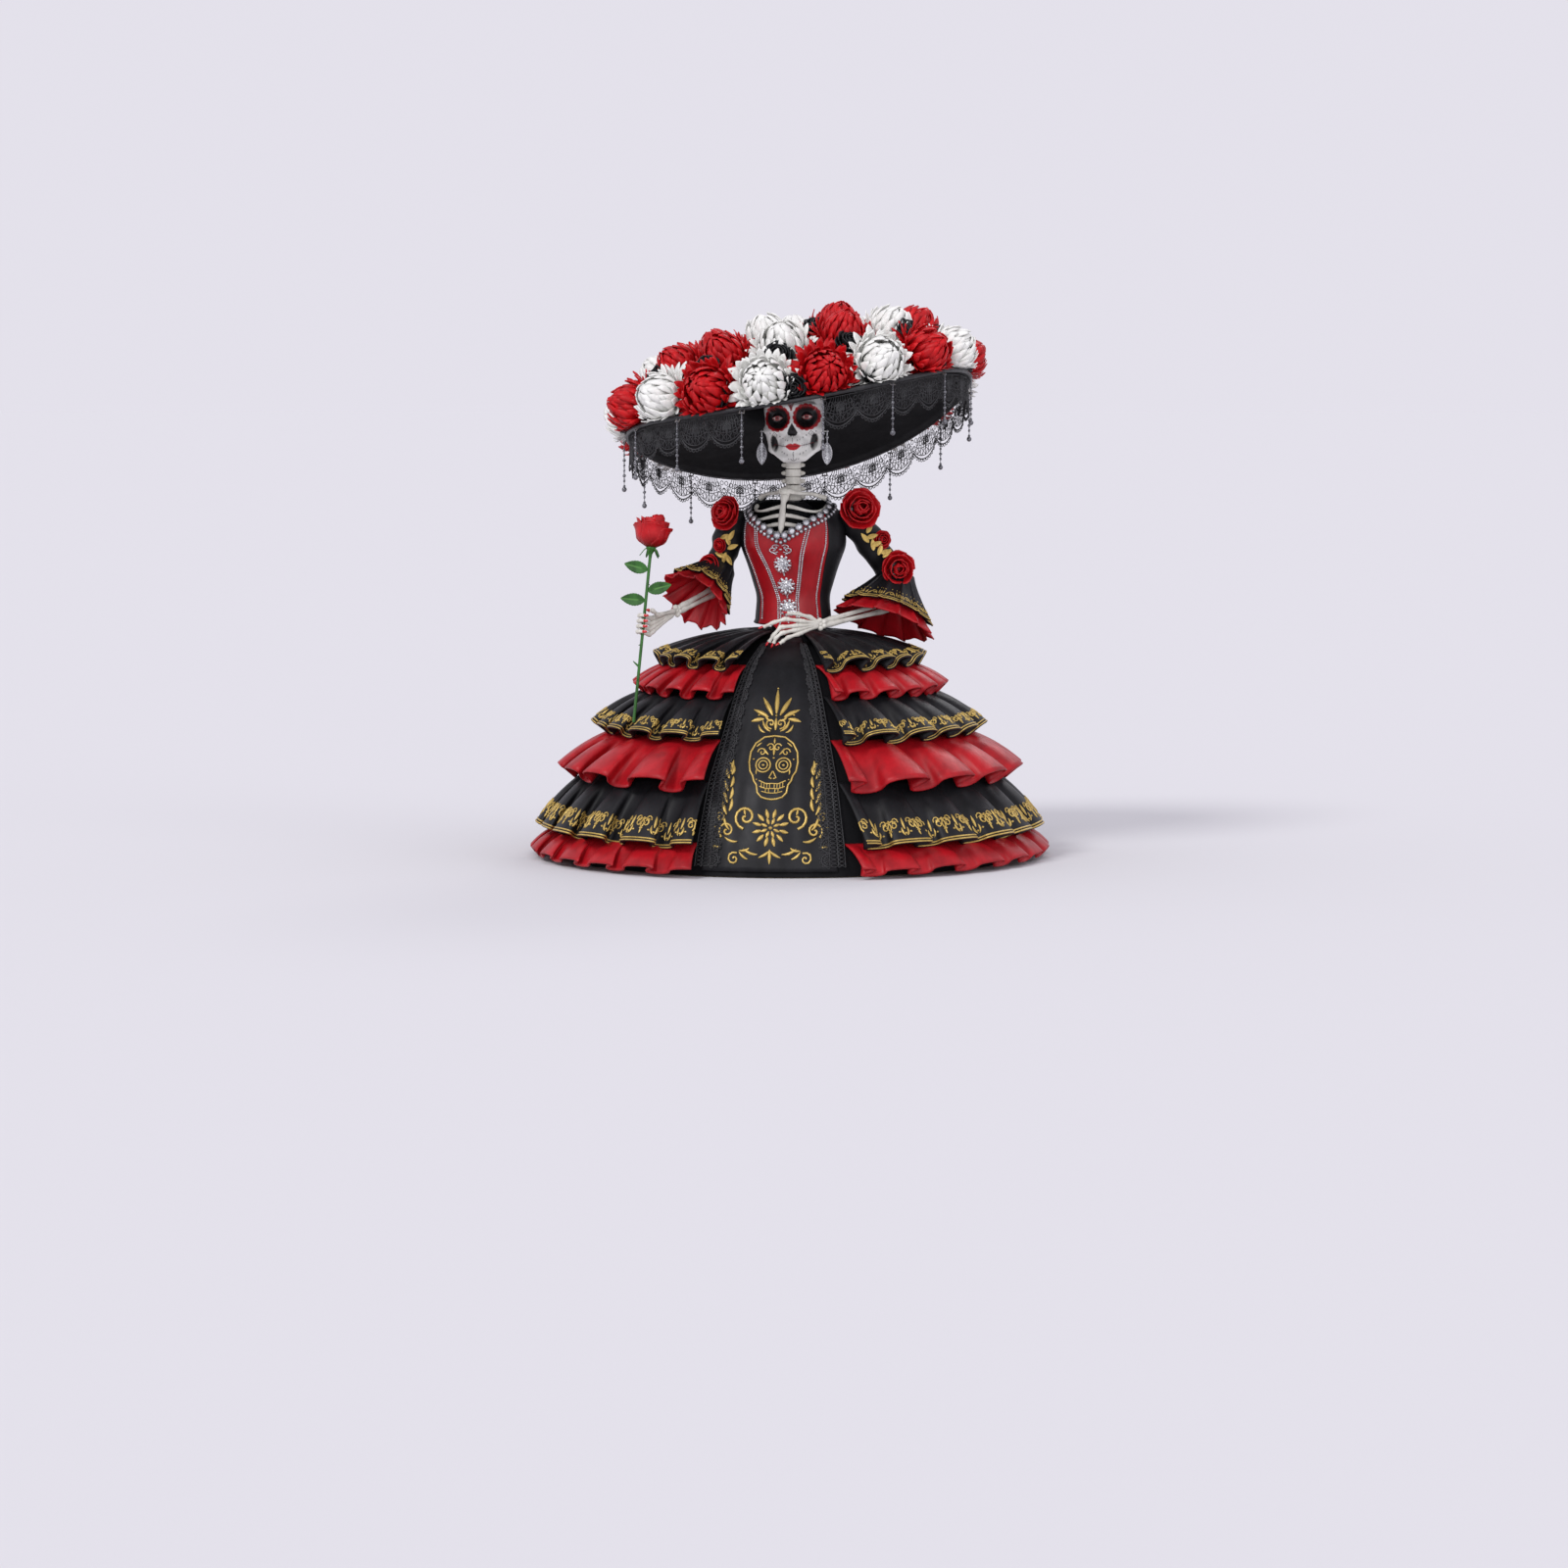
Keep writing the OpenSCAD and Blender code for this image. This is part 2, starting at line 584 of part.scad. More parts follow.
mound_r = 141;
mound_wall = 2.2;
// A point of the mound: e climbs from the brim to the middle of the hat, in degrees.
function mound_pt(e, a, off) = hat_pt((mound_r + off) * cos(e), a, 2.6 + (mound_h + off) * sin(e));
module flower_mound() {
    rows = [for (i = [0:6]) lerp(87, 0, i / 6)];
    function grid(off) = [for (i = [0:hat_stations - 1])
        [for (e = rows) mound_pt(e, 360 * i / hat_stations, off)]];
    color(black) sheet(grid(0), grid(-mound_wall), true);
}

// A rolled edge around the rim: a closed tube.
binding_r = 1.8;
module brim_binding() {
    n = 60;
    sides = 6;
    rings = [for (i = [0:n - 1]) let (a = 360 * i / n) [for (j = [0:sides - 1])
        hat_pt(brim_r + 0.6 + binding_r * cos(360 * j / sides), a, -0.7 + binding_r * sin(360 * j / sides))]];
    faces = flat([for (i = [0:n - 1]) flat([for (j = [0:sides - 1])
        let (k = (i + 1) % n, next = (j + 1) % sides,
             a = i * sides + j, b = i * sides + next, c = k * sides + next, d = k * sides + j)
        [[a, c, d], [a, b, c]]])]);
    color(black) polyhedron(flat(rings), faces, convexity = 6);
}

// Lace hangs straight down from the rim, and leaves the face free.
lace_r = 146.5;
lace_start = -82;
lace_sweep = 334;
lace_wall = 0.8;
valley_drop = 17;
lobe_drop = 28;
lace_step = lace_sweep / scallops;
module brim_lace() {
    per = 6;
    function column(i, r) =
        let (a = lace_start + lace_step * i / per,
             top = hat_pt(r, a, -1.6),
             drop = lerp(valley_drop, lobe_drop, sin(180 * (i % per) / per)))
        [top, top - [0, 0, drop]];
    n = scallops * per;
    color(black) sheet([for (i = [0:n]) column(i, lace_r + lace_wall)], [for (i = [0:n]) column(i, lace_r)]);
}

// Pendants hang from wire hooks at every second valley of the lace.
hook_wire = 0.5;
hook_half = 1.9;
hook_drop = 3.6;
pendant_r = 152.5;
function pendant_angle(k) = lace_start + lace_sweep * k / 14;
function hook_at(k) = hat_pt(pendant_r, pendant_angle(k), -0.7) - [0, 0, hook_drop];
// The way a pendant swings out, level with the floor, and the pin's direction.
function hook_out(k) = let (d = hook_at(k) - hat_at) unit([d[0], d[1], 0]);
function hook_pin(k) = [hook_out(k)[1], -hook_out(k)[0], 0];
module pendant_hooks() {
    color(silver) for (k = [0:14]) {
        at = hook_at(k);
        root = hat_pt(brim_r + 1, pendant_angle(k), -0.9);
        rod(at - (hook_half + 0.5) * hook_pin(k), at + (hook_half + 0.5) * hook_pin(k), hook_wire);
        for (leg = [-hook_half, hook_half]) rod(at + leg * hook_pin(k), root + leg * hook_pin(k), hook_wire);
    }
}
pendant_length = 42;
bead_pitch = 4.4;
module pendant(k) {
    bore = hook_wire + running_gap;
    wire = 0.45;
    drop_r = 2.2;
    pin = hook_pin(k);
    color(silver) translate(hook_at(k)) rotate([0, 0, atan2(pin[1], pin[0])]) {
        rotate([0, 90, 0]) rotate_extrude($fn = 24) translate([bore + wire, 0]) circle(r = wire);
        translate([0, 0, drop_r - pendant_length])
            cylinder(r = 0.4, h = pendant_length - drop_r - bore - wire, $fn = 16);
        for (i = [1:7]) translate([0, 0, -bead_pitch * i - 1.5]) sphere(r = i % 3 == 0 ? 1.6 : 1.1, $fn = 16);
        translate([0, 0, drop_r - pendant_length]) sphere(r = drop_r, $fn = 20);
    }
}

// Flowers stand on the mound in rings: climb angle, count, first angle, and which colour comes first.
mum_rings = [[13, 18, 200, 0], [43, 13, 240, 0], [66, 6, 255, 1], [88, 1, 0, 1]];
mum_h = 30;
function mum_colour(ring, i) = (ring[3] + i) % 2;
module on_mound(e, a, sink) {
    foot = mound_pt(e, a, -sink);
    along(foot, mound_pt(e, a, 10) - foot) children();
}
module chrysanthemum() {
    outline = [[0, 0], [0.5, 0], [0.98, 0.35], [1, 0.55], [0.75, 0.85], [0.35, 1], [0, 1]];
    rotate_extrude($fn = 32) polygon([for (p = outline) [mum_r * p[0], mum_h * p[1]]]);
}
module chrysanthemums(colour) {
    for (ring = mum_rings) for (i = [0:ring[1] - 1]) if (mum_colour(ring, i) == colour)
        on_mound(ring[0], ring[2] + 360 * i / ring[1], 1.5) chrysanthemum();
}
module red_chrysanthemums() { color(red) chrysanthemums(0); }
module white_chrysanthemums() { color(white) chrysanthemums(1); }
// Black roses fill the gaps: climb angle and angle round the hat.
rose_gap_list = concat(
    [for (a = [190, 231, 272, 291, 331, 10, 50, 90, 130]) [5, a]],
    [for (i = [0:8]) [30, 210 + 40 * i]],
    [for (i = [0:5]) [56, 227 + 60 * i]]);
module black_roses() {
    color(black) for (f = rose_gap_list) on_mound(f[0], f[1], 0) scale(1.5) rosette(7.5);
}

// ---- Rose in the right hand ----
stem_length = 148;
module rose_bloom() {
    color(red) along(stem_foot + stem_dir * stem_length, stem_dir)
        rotate_extrude() polygon([[0, 0], [3, 0], [0.62 * bloom_r, 6], [0.86 * bloom_r, 15], [bloom_r, 22],
            [0.9 * bloom_r, 26], [0.5 * bloom_r, 29], [0, 29]]);
}
shoot_at = 47;
module rose_stem() {
    color(green) {
        along(stem_foot, stem_dir) cylinder(r = stem_r, h = stem_length, $fn = 24);
        along(stem_foot + stem_dir * (stem_length - 2), stem_dir) cylinder(r1 = 2, r2 = 4.4, h = 3.4);
        along(stem_foot + stem_dir * shoot_at, [-0.7, 0, 0.7]) cylinder(r1 = 1, r2 = 0.6, h = 7, $fn = 16);
    }
}
// Leaves of the rose: height along the stem, and turn about the view, in degrees.
rose_leaf_list = [[130, 165], [112, 15], [104, 175]];
module rose_leaves() {
    color(green) for (f = rose_leaf_list)
        translate(stem_foot + stem_dir * f[0]) rotate([90, 0, 0]) rotate([0, 0, f[1]])
            translate([0.6, 0, -0.6]) {
                leaf(21, 10, 1.2);
                translate([0, 0, 0.6]) rotate([0, 90, 0]) cylinder(r = 0.55, h = 6, $fn = 16);
            }
}

base_disc();
armature();
skirt_shell();
front_panel();
panel_lace();
ruffle_1_black();
ruffle_2_red();
ruffle_3_black();
ruffle_4_red();
ruffle_5_black();
ruffle_6_red();
torso_core();
bodice_back();
bodice_front();
bodice_trims();
brooches();
collar();
rib_cage();
neck_vertebrae();
skull();
eyes();
hair();
sleeve_left();
sleeve_right();
cuff_left_black();
cuff_left_red();
cuff_right_black();
cuff_right_red();
hand_left();
hand_right();
sleeve_roses();
sleeve_leaves();
hat_brim();
flower_mound();
brim_binding();
brim_lace();
pendant_hooks();
red_chrysanthemums();
white_chrysanthemums();
black_roses();
rose_bloom();
rose_stem();
rose_leaves();
earring_left();
earring_right();
for (k = [0:14]) pendant(k);
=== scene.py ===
# %% [markdown]
# # A papier-mache catrina
# A catrina is a skeleton lady in her best dress. Makers paste paper over a wire and board core, model the
# details in paper pulp, and paint and varnish the whole. This lesson builds one around a fixed frame of plain
# solids. The frame says where each piece is and how it moves, so no piece here is ever fitted by eye. We load
# the frame first, and keep its overall box to compare with the finished figure at the end.

# %% Load the frame
import math
import random

import bmesh
import bpy
import numpy as np
from mathutils import Matrix, Vector


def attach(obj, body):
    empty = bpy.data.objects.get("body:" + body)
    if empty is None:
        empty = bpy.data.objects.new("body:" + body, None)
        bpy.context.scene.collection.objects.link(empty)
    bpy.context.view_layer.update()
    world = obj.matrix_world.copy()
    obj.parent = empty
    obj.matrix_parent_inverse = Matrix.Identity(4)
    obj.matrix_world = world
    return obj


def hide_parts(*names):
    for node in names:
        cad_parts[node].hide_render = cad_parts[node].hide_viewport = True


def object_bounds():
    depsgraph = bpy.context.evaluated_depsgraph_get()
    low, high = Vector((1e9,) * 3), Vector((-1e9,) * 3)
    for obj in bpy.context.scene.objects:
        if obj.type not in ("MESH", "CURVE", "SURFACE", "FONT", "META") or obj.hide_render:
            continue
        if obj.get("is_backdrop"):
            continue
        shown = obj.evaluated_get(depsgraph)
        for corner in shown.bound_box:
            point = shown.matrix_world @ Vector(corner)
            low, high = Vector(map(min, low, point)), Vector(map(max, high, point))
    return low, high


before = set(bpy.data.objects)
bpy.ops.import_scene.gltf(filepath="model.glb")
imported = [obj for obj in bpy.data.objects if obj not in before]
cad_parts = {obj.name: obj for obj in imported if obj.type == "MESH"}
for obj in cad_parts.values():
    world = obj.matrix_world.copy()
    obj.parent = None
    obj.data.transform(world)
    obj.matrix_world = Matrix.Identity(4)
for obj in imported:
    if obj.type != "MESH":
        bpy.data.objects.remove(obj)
frame_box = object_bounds()
MM = 0.001

# %% [markdown]
# ## Camera, floor and light
# A figure this size is best seen from about four metres with a long lens, because a long lens keeps the wide
# hat and the wide skirt in proportion. The camera looks level with the skirt, from slightly above. The floor
# and the air around it are the same pale lilac grey, which keeps the outline of the black flounces clear. One
# wide soft sun from her right gives the folds their shape, two weaker ones open the shadows,
# and a low one in front of her reaches under the brim to her face.

# %% Camera
AIM = Vector((-0.005, 0.0, 0.061))
CAMERA_DISTANCE = 4.0
CAMERA_ELEVATION = math.radians(5)
VIEW_WIDTH = 1.36

camera_data = bpy.data.cameras.new("camera")
camera_data.sensor_width = 36
camera_data.lens = camera_data.sensor_width * CAMERA_DISTANCE / VIEW_WIDTH
camera = bpy.data.objects.new("camera", camera_data)
back = Vector((0, -math.cos(CAMERA_ELEVATION), math.sin(CAMERA_ELEVATION)))
camera.location = AIM + CAMERA_DISTANCE * back
camera.rotation_euler = back.to_track_quat("Z", "Y").to_euler()
bpy.context.scene.collection.objects.link(camera)
bpy.context.scene.camera = camera
print("lens:", round(camera_data.lens, 1), "mm")

# %% Floor and light
PALE = (0.775, 0.755, 0.83)
SUNS = [("key", (-1.0, -1.25, 1.45), 1.35, 16), ("fill", (1.3, -1.0, 0.7), 0.25, 30),
        ("rim", (0.7, 1.5, 1.3), 0.35, 20),
        ("low", (0.1, -1.6, 0.22), 0.75, 30)]

on_floor = 0.0
for name, place, strength, wide in SUNS:
    data = bpy.data.lights.new(name, "SUN")
    data.energy = strength
    data.angle = math.radians(wide)
    light = bpy.data.objects.new(name, data)
    light.location = place
    light.rotation_euler = Vector(place).to_track_quat("Z", "Y").to_euler()
    bpy.context.scene.collection.objects.link(light)
    on_floor += strength * Vector(place).normalized().z / math.pi

world = bpy.data.worlds.new("air")
world.use_nodes = True
world.node_tree.nodes["Background"].inputs["Color"].default_value = (*PALE, 1)
world.node_tree.nodes["Background"].inputs["Strength"].default_value = 1.0
bpy.context.scene.world = world
bpy.context.scene.view_settings.view_transform = "Standard"

# The floor is darker paint than the air, by as much as the suns light it, so that the two look the same.
floor_mesh = bpy.data.meshes.new("floor")
bm = bmesh.new()
bmesh.ops.create_circle(bm, cap_ends=True, segments=64, radius=60)
bm.to_mesh(floor_mesh)
bm.free()
floor = bpy.data.objects.new("floor", floor_mesh)
bpy.context.scene.collection.objects.link(floor)
floor_paint = bpy.data.materials.new("floor")
floor_paint.use_nodes = True
floor_shader = floor_paint.node_tree.nodes["Principled BSDF"]
floor_shader.inputs["Base Color"].default_value = (*[air / (air + on_floor) for air in PALE], 1)
floor_shader.inputs["Roughness"].default_value = 1.0
floor_shader.inputs["Specular IOR Level"].default_value = 0.0
floor_mesh.materials.append(floor_paint)
floor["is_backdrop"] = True
# %% [markdown]
# ## Paint
# Painted paper is never one flat colour. The paste leaves small lumps, the brush leaves soft stripes, and the
# varnish pools a little. These effects are on nearly every piece, so they are two node groups: `pasted_paper`
# gives the height of the lumps and fibres, and `hand_painted` varies a colour between two tones. The shader
# itself stays in each material, so that each one keeps its own gloss. Both groups read Object coordinates, so
# the pattern stays on a piece when the piece moves.

# %% Node helpers
def link(tree, source, target):
    tree.links.new(source, target)


def math_node(tree, operation, first, second=None, clamp=False):
    node = tree.nodes.new("ShaderNodeMath")
    node.operation = operation
    node.use_clamp = clamp
    for socket, value in zip(node.inputs, (first, second)):
        if isinstance(value, (int, float)):
            socket.default_value = value
        elif value is not None:
            link(tree, value, socket)
    return node.outputs[0]


def noise(tree, coordinates, scale, detail=3.0, roughness=0.6):
    node = tree.nodes.new("ShaderNodeTexNoise")
    node.inputs["Detail"].default_value = detail
    node.inputs["Roughness"].default_value = roughness
    if isinstance(scale, (int, float)):
        node.inputs["Scale"].default_value = scale
    else:
        link(tree, scale, node.inputs["Scale"])
    link(tree, coordinates, node.inputs["Vector"])
    return node.outputs["Fac"]


def new_group(name, inputs, outputs):
    group = bpy.data.node_groups.new(name, "ShaderNodeTree")
    for title, kind, value in inputs:
        socket = group.interface.new_socket(title, in_out="INPUT", socket_type=kind)
        socket.default_value = value
    for title, kind in outputs:
        group.interface.new_socket(title, in_out="OUTPUT", socket_type=kind)
    return group, group.nodes.new("NodeGroupInput"), group.nodes.new("NodeGroupOutput")


# %% The two paint groups
def make_pasted_paper():
    group, given, result = new_group(
        "pasted_paper",
        [("Lump Scale", "NodeSocketFloat", 90.0), ("Fibre Scale", "NodeSocketFloat", 900.0)],
        [("Height", "NodeSocketFloat")])
    place = group.nodes.new("ShaderNodeTexCoord").outputs["Object"]
    lumps = noise(group, place, given.outputs["Lump Scale"], 2.0, 0.5)
    fibres = noise(group, place, given.outputs["Fibre Scale"], 4.0, 0.7)
    link(group, math_node(group, "ADD", math_node(group, "MULTIPLY", lumps, 0.75),
                          math_node(group, "MULTIPLY", fibres, 0.25)), result.inputs["Height"])
    return group


def make_hand_painted():
    group, given, result = new_group(
        "hand_painted",
        [("Colour", "NodeSocketColor", (0.5, 0.5, 0.5, 1)), ("Shade", "NodeSocketColor", (0.3, 0.3, 0.3, 1)),
         ("Scale", "NodeSocketFloat", 60.0)],
        [("Colour", "NodeSocketColor"), ("Streaks", "NodeSocketFloat")])
    place = group.nodes.new("ShaderNodeTexCoord").outputs["Object"]
    stretch = group.nodes.new("ShaderNodeMapping")
    stretch.inputs["Scale"].default_value = (1.0, 1.0, 0.3)
    link(group, place, stretch.inputs["Vector"])
    streaks = noise(group, stretch.outputs["Vector"], given.outputs["Scale"], 5.0, 0.65)
    level = math_node(group, "MULTIPLY", math_node(group, "SUBTRACT", streaks, 0.36), 3.2, clamp=True)
    blend = group.nodes.new("ShaderNodeMix")
    blend.data_type = "RGBA"
    link(group, level, blend.inputs["Factor"])
    link(group, given.outputs["Colour"], blend.inputs["A"])
    link(group, given.outputs["Shade"], blend.inputs["B"])
    link(group, blend.outputs["Result"], result.inputs["Colour"])
    link(group, streaks, result.inputs["Streaks"])
    return group


PASTED_PAPER = make_pasted_paper()
HAND_PAINTED = make_hand_painted()


# %% [markdown]
# `paint` mixes one finish. It takes a colour and its shaded tone, the roughness, how much metal is in it and
# how strong the paper's lumps are. `over` lays further colours on top through masks that are stored on the
# mesh as attributes. On the petals the colour over the "root" mask is painted shade at their roots; on the
# green it is a paler midrib.

# %% Mix a paint
def paint(name, colour, shade, rough, metal=0.0, coat=0.0, lumps=0.25, scale=60.0, over=(), sheen=0.0,
          gleam=0.3):
    material = bpy.data.materials.new(name)
    material.use_nodes = True
    tree = material.node_tree
    shader = tree.nodes["Principled BSDF"]
    tones = tree.nodes.new("ShaderNodeGroup")
    tones.node_tree = HAND_PAINTED
    tones.inputs["Colour"].default_value = (*colour, 1)
    tones.inputs["Shade"].default_value = (*shade, 1)
    tones.inputs["Scale"].default_value = scale
    surface = tones.outputs["Colour"]
    for attribute, top_colour in over:
        mask = tree.nodes.new("ShaderNodeAttribute")
        mask.attribute_name = attribute
        layer = tree.nodes.new("ShaderNodeMix")
        layer.data_type = "RGBA"
        layer.inputs["B"].default_value = (*top_colour, 1)
        link(tree, mask.outputs["Fac"], layer.inputs["Factor"])
        link(tree, surface, layer.inputs["A"])
        surface = layer.outputs["Result"]
    link(tree, surface, shader.inputs["Base Color"])
    rough_spread = 0.22
    varied = math_node(tree, "MULTIPLY_ADD", tones.outputs["Streaks"], rough_spread)
    varied.node.inputs[2].default_value = rough - rough_spread / 2
    link(tree, varied, shader.inputs["Roughness"])
    shader.inputs["Metallic"].default_value = metal
    shader.inputs["Coat Weight"].default_value = coat
    shader.inputs["Coat Roughness"].default_value = 0.25
    shader.inputs["Sheen Weight"].default_value = sheen
    shader.inputs["Specular IOR Level"].default_value = gleam
    relief = tree.nodes.new("ShaderNodeGroup")
    relief.node_tree = PASTED_PAPER
    relief.inputs["Lump Scale"].default_value = 1.6 * scale
    relief.inputs["Fibre Scale"].default_value = 15 * scale
    bump = tree.nodes.new("ShaderNodeBump")
    bump.inputs["Strength"].default_value = lumps
    bump.inputs["Distance"].default_value = MM
    link(tree, relief.outputs["Height"], bump.inputs["Height"])
    link(tree, bump.outputs["Normal"], shader.inputs["Normal"])
    return material


GOLD_TONE = (0.62, 0.44, 0.13)
SATIN_BLACK = paint("satin_black", (0.011, 0.011, 0.013), (0.005, 0.005, 0.006), 0.5, lumps=0.2, gleam=0.22)
SATIN_RED = paint("satin_red", (0.43, 0.006, 0.012), (0.25, 0.003, 0.007), 0.44, lumps=0.18, gleam=0.28)
BODICE_RED = paint("bodice_red", (0.40, 0.006, 0.012), (0.24, 0.003, 0.007), 0.40, coat=0.08, lumps=0.18,
                   gleam=0.28)
MATT_BLACK = paint("hat_black", (0.006, 0.006, 0.007), (0.003, 0.003, 0.004), 0.7, lumps=0.35, gleam=0.12)
GOLD = paint("gold_paint", GOLD_TONE, (0.40, 0.27, 0.07), 0.40, metal=0.45, lumps=0.3, scale=150)
SILVER = paint("silver_beads", (0.74, 0.74, 0.76), (0.36, 0.36, 0.39), 0.28, metal=0.75, lumps=0.2, scale=250)
OLD_SILVER = paint("old_silver", (0.30, 0.30, 0.32), (0.10, 0.10, 0.11), 0.35, metal=0.8, lumps=0.2,
                   scale=250)
STONE = paint("cut_stones", (0.86, 0.87, 0.90), (0.50, 0.51, 0.55), 0.14, metal=0.4, coat=0.6, lumps=0.1,
              scale=300)
BONE = paint("bone_paint", (0.70, 0.68, 0.62), (0.50, 0.48, 0.43), 0.48, lumps=0.4, scale=110)
LACE_BLACK = paint("black_lace", (0.050, 0.050, 0.053), (0.024, 0.024, 0.026), 0.6, lumps=0.3, scale=220)
# On the petal paints the dark colour over the "root" mask is painted shade at the roots of the petals and over the
# heart of each flower.
MUM_RED = paint("red_petals", (0.56, 0.005, 0.008), (0.32, 0.002, 0.005), 0.46, lumps=0.25, scale=130,
                over=[("root", (0.12, 0.001, 0.002))], gleam=0.25)
MUM_WHITE = paint("white_petals", (0.84, 0.84, 0.81), (0.70, 0.70, 0.67), 0.55, lumps=0.25, scale=130,
                  over=[("root", (0.36, 0.37, 0.34))], gleam=0.25)
PETAL_BLACK = paint("black_petals", (0.016, 0.017, 0.019), (0.008, 0.008, 0.009), 0.5, lumps=0.25, scale=130,
                    over=[("root", (0.002, 0.002, 0.002))])
ROSE_RED = paint("rose_petals", (0.55, 0.006, 0.011), (0.33, 0.003, 0.006), 0.42, lumps=0.2, scale=130,
                 over=[("root", (0.13, 0.001, 0.002))])
LEAF_GREEN = paint("leaf_green", (0.035, 0.14, 0.022), (0.015, 0.065, 0.010), 0.45, lumps=0.3, scale=150,
                   over=[("root", (0.09, 0.24, 0.05))])
BOARD = paint("raw_board", (0.34, 0.26, 0.17), (0.22, 0.16, 0.10), 0.8, lumps=0.4, scale=50)
SMOKED_BEAD = paint("smoked_beads", (0.20, 0.20, 0.22), (0.08, 0.08, 0.09), 0.2, metal=0.4, coat=0.5,
                    lumps=0.05,
                    scale=300)
print("paints:", len(bpy.data.materials))
# %% [markdown]
# ## Tools for bending sheets
# Nearly everything on her is a bent sheet or a rounded stroke of paint. A sheet starts as a flat grid, and a
# rule says where each point of the grid goes: `u` runs across it and `v` runs from its top to its hem. Sizes
# in the rules are in millimetres, and are turned to metres when the mesh is written. `rounded` reads a value
# between stations, as a dressmaker measures a body at a few heights and lets the cloth ease between them.

# %% Small sums
def mix(first, second, t):
    return first + (second - first) * t


def unit(vector):
    vector = np.asarray(vector, float)
    return vector / np.linalg.norm(vector, axis=-1, keepdims=True)


def rounded(stations, reach):
    at, value = np.array(stations, float).T
    fine = np.linspace(at[0] - reach, at[-1] + reach, 500)
    level = np.mean([np.interp(fine + step, at, value) for step in np.linspace(-reach, reach, 11)], axis=0)
    return lambda x: np.interp(x, fine, level)


def around(radius, degrees, z):
    angle = np.radians(degrees)
    return np.stack(np.broadcast_arrays(radius * np.cos(angle), radius * np.sin(angle), z), axis=-1)


def lifted(place, u, v, lift):
    """A point of a sheet, raised off it along its normal."""
    step = 0.002
    down = place(u, v + step) - place(u, v - step)
    across = place(u + step, v) - place(u - step, v)
    return place(u, v) + np.asarray(lift)[..., None] * unit(np.cross(down, across))


# %% Finish a piece: write its mesh, smooth it, paint it and hand it to a body
def finish_piece(name, bm, paints, body="figure", stands_for=(), smooth=True):
    mesh = bpy.data.meshes.new(name)
    if isinstance(bm, bpy.types.Mesh):
        mesh = bm
        mesh.name = name
    else:
        bm.to_mesh(mesh)
        bm.free()
    for material in paints if isinstance(paints, (list, tuple)) else [paints]:
        mesh.materials.append(material)
    mesh.shade_smooth() if smooth else mesh.shade_flat()
    piece = bpy.data.objects.new(name, mesh)
    bpy.context.scene.collection.objects.link(piece)
    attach(piece, body)
    if stands_for:
        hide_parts(*stands_for)
    return piece


def bend_grid(place, columns, rows, ring=False):
    """A grid of faces, bent by place(u, v), with its ends joined where it is a ring."""
    bm = bmesh.new()
    bmesh.ops.create_grid(bm, x_segments=columns, y_segments=rows, size=0.5)
    flat = np.array([vertex.co[:2] for vertex in bm.verts]) + 0.5
    for vertex, point in zip(bm.verts, place(flat[:, 0], flat[:, 1])):
        vertex.co = Vector(point) * MM
    if ring:
        bmesh.ops.remove_doubles(bm, verts=bm.verts, dist=0.01 * MM)
    bmesh.ops.recalc_face_normals(bm, faces=bm.faces)
    return bm


def face_out(bm, centre=(0, 0, 0)):
    """Turn an open sheet so that its faces look away from a centre."""
    middle = Vector(centre) * MM
    looks = sum((face.calc_center_median() - middle).dot(face.normal) * face.calc_area() for face in bm.faces)
    if looks < 0:
        bmesh.ops.reverse_faces(bm, faces=bm.faces)
    return bm


def wall(piece, thickness, offset=-1.0):
    solid = piece.modifiers.new("wall", "SOLIDIFY")
    solid.thickness = thickness * MM
    solid.offset = offset
    solid.use_even_offset = True
    return piece


# %% Strokes: rounded lines of paint, wire or thread
def stroke_mesh(lines, roundness=0):
    """Tubes along lines. A line is its points and a radius at each point."""
    data = bpy.data.curves.new("strokes", "CURVE")
    data.dimensions = "3D"
    data.bevel_depth = MM
    data.bevel_resolution = roundness
    data.use_fill_caps = True
    for points, radii in lines:
        points = np.asarray(points, float)
        spline = data.splines.new("POLY")
        spline.points.add(len(points) - 1)
        spline.points.foreach_set("co", np.c_[points * MM, np.ones(len(points))].ravel())
        spline.points.foreach_set("radius", np.broadcast_to(radii, len(points)).astype(float))
    holder = bpy.data.objects.new("strokes", data)
    mesh = bpy.data.meshes.new_from_object(holder)
    bpy.data.objects.remove(holder)
    bpy.data.curves.remove(data)
    mesh.materials.clear()
    return mesh


def add_mesh(bm, mesh, matrix):
    """Add a copy of a mesh, put in place by a matrix."""
    mesh.transform(matrix)
    bm.from_mesh(mesh)
    mesh.transform(matrix.inverted())


def stand(foot, way, spin=0.0, size=1.0):
    """The matrix that stands a shape up along a way, from its foot, in millimetres."""
    turn = Vector(way).to_track_quat("Z", "Y").to_matrix().to_4x4()
    place = Matrix.Translation(Vector(foot) * MM)
    return place @ turn @ Matrix.Rotation(spin, 4, "Z") @ Matrix.Scale(size, 4)


# %% [markdown]
# ## The painter's strokes
# The gold on the black cloth is a pattern of a few strokes that come back everywhere: a line that curls into
# a spiral, a leaf that swells and ends in a point, and a dot. Each is a row of points in a flat pattern, with
# a half width at each point. Later the patterns are laid on hems, cuffs and the front panel.

# %% Flat strokes
def curl(x, y, radius, start, turns, width, steps=12):
    """A line that winds inwards from (x, y). The start is the direction from the eye of the curl."""
    t = np.linspace(0, 1, steps)
    angle = math.radians(start) + t * turns * 2 * math.pi
    reach = radius * (1 - t) ** 0.75
    eye = np.array([x, y]) - radius * np.array([math.cos(angle[0]), math.sin(angle[0])])
    return np.c_[eye[0] + reach * np.cos(angle), eye[1] + reach * np.sin(angle)], mix(width, width * 0.9, t)


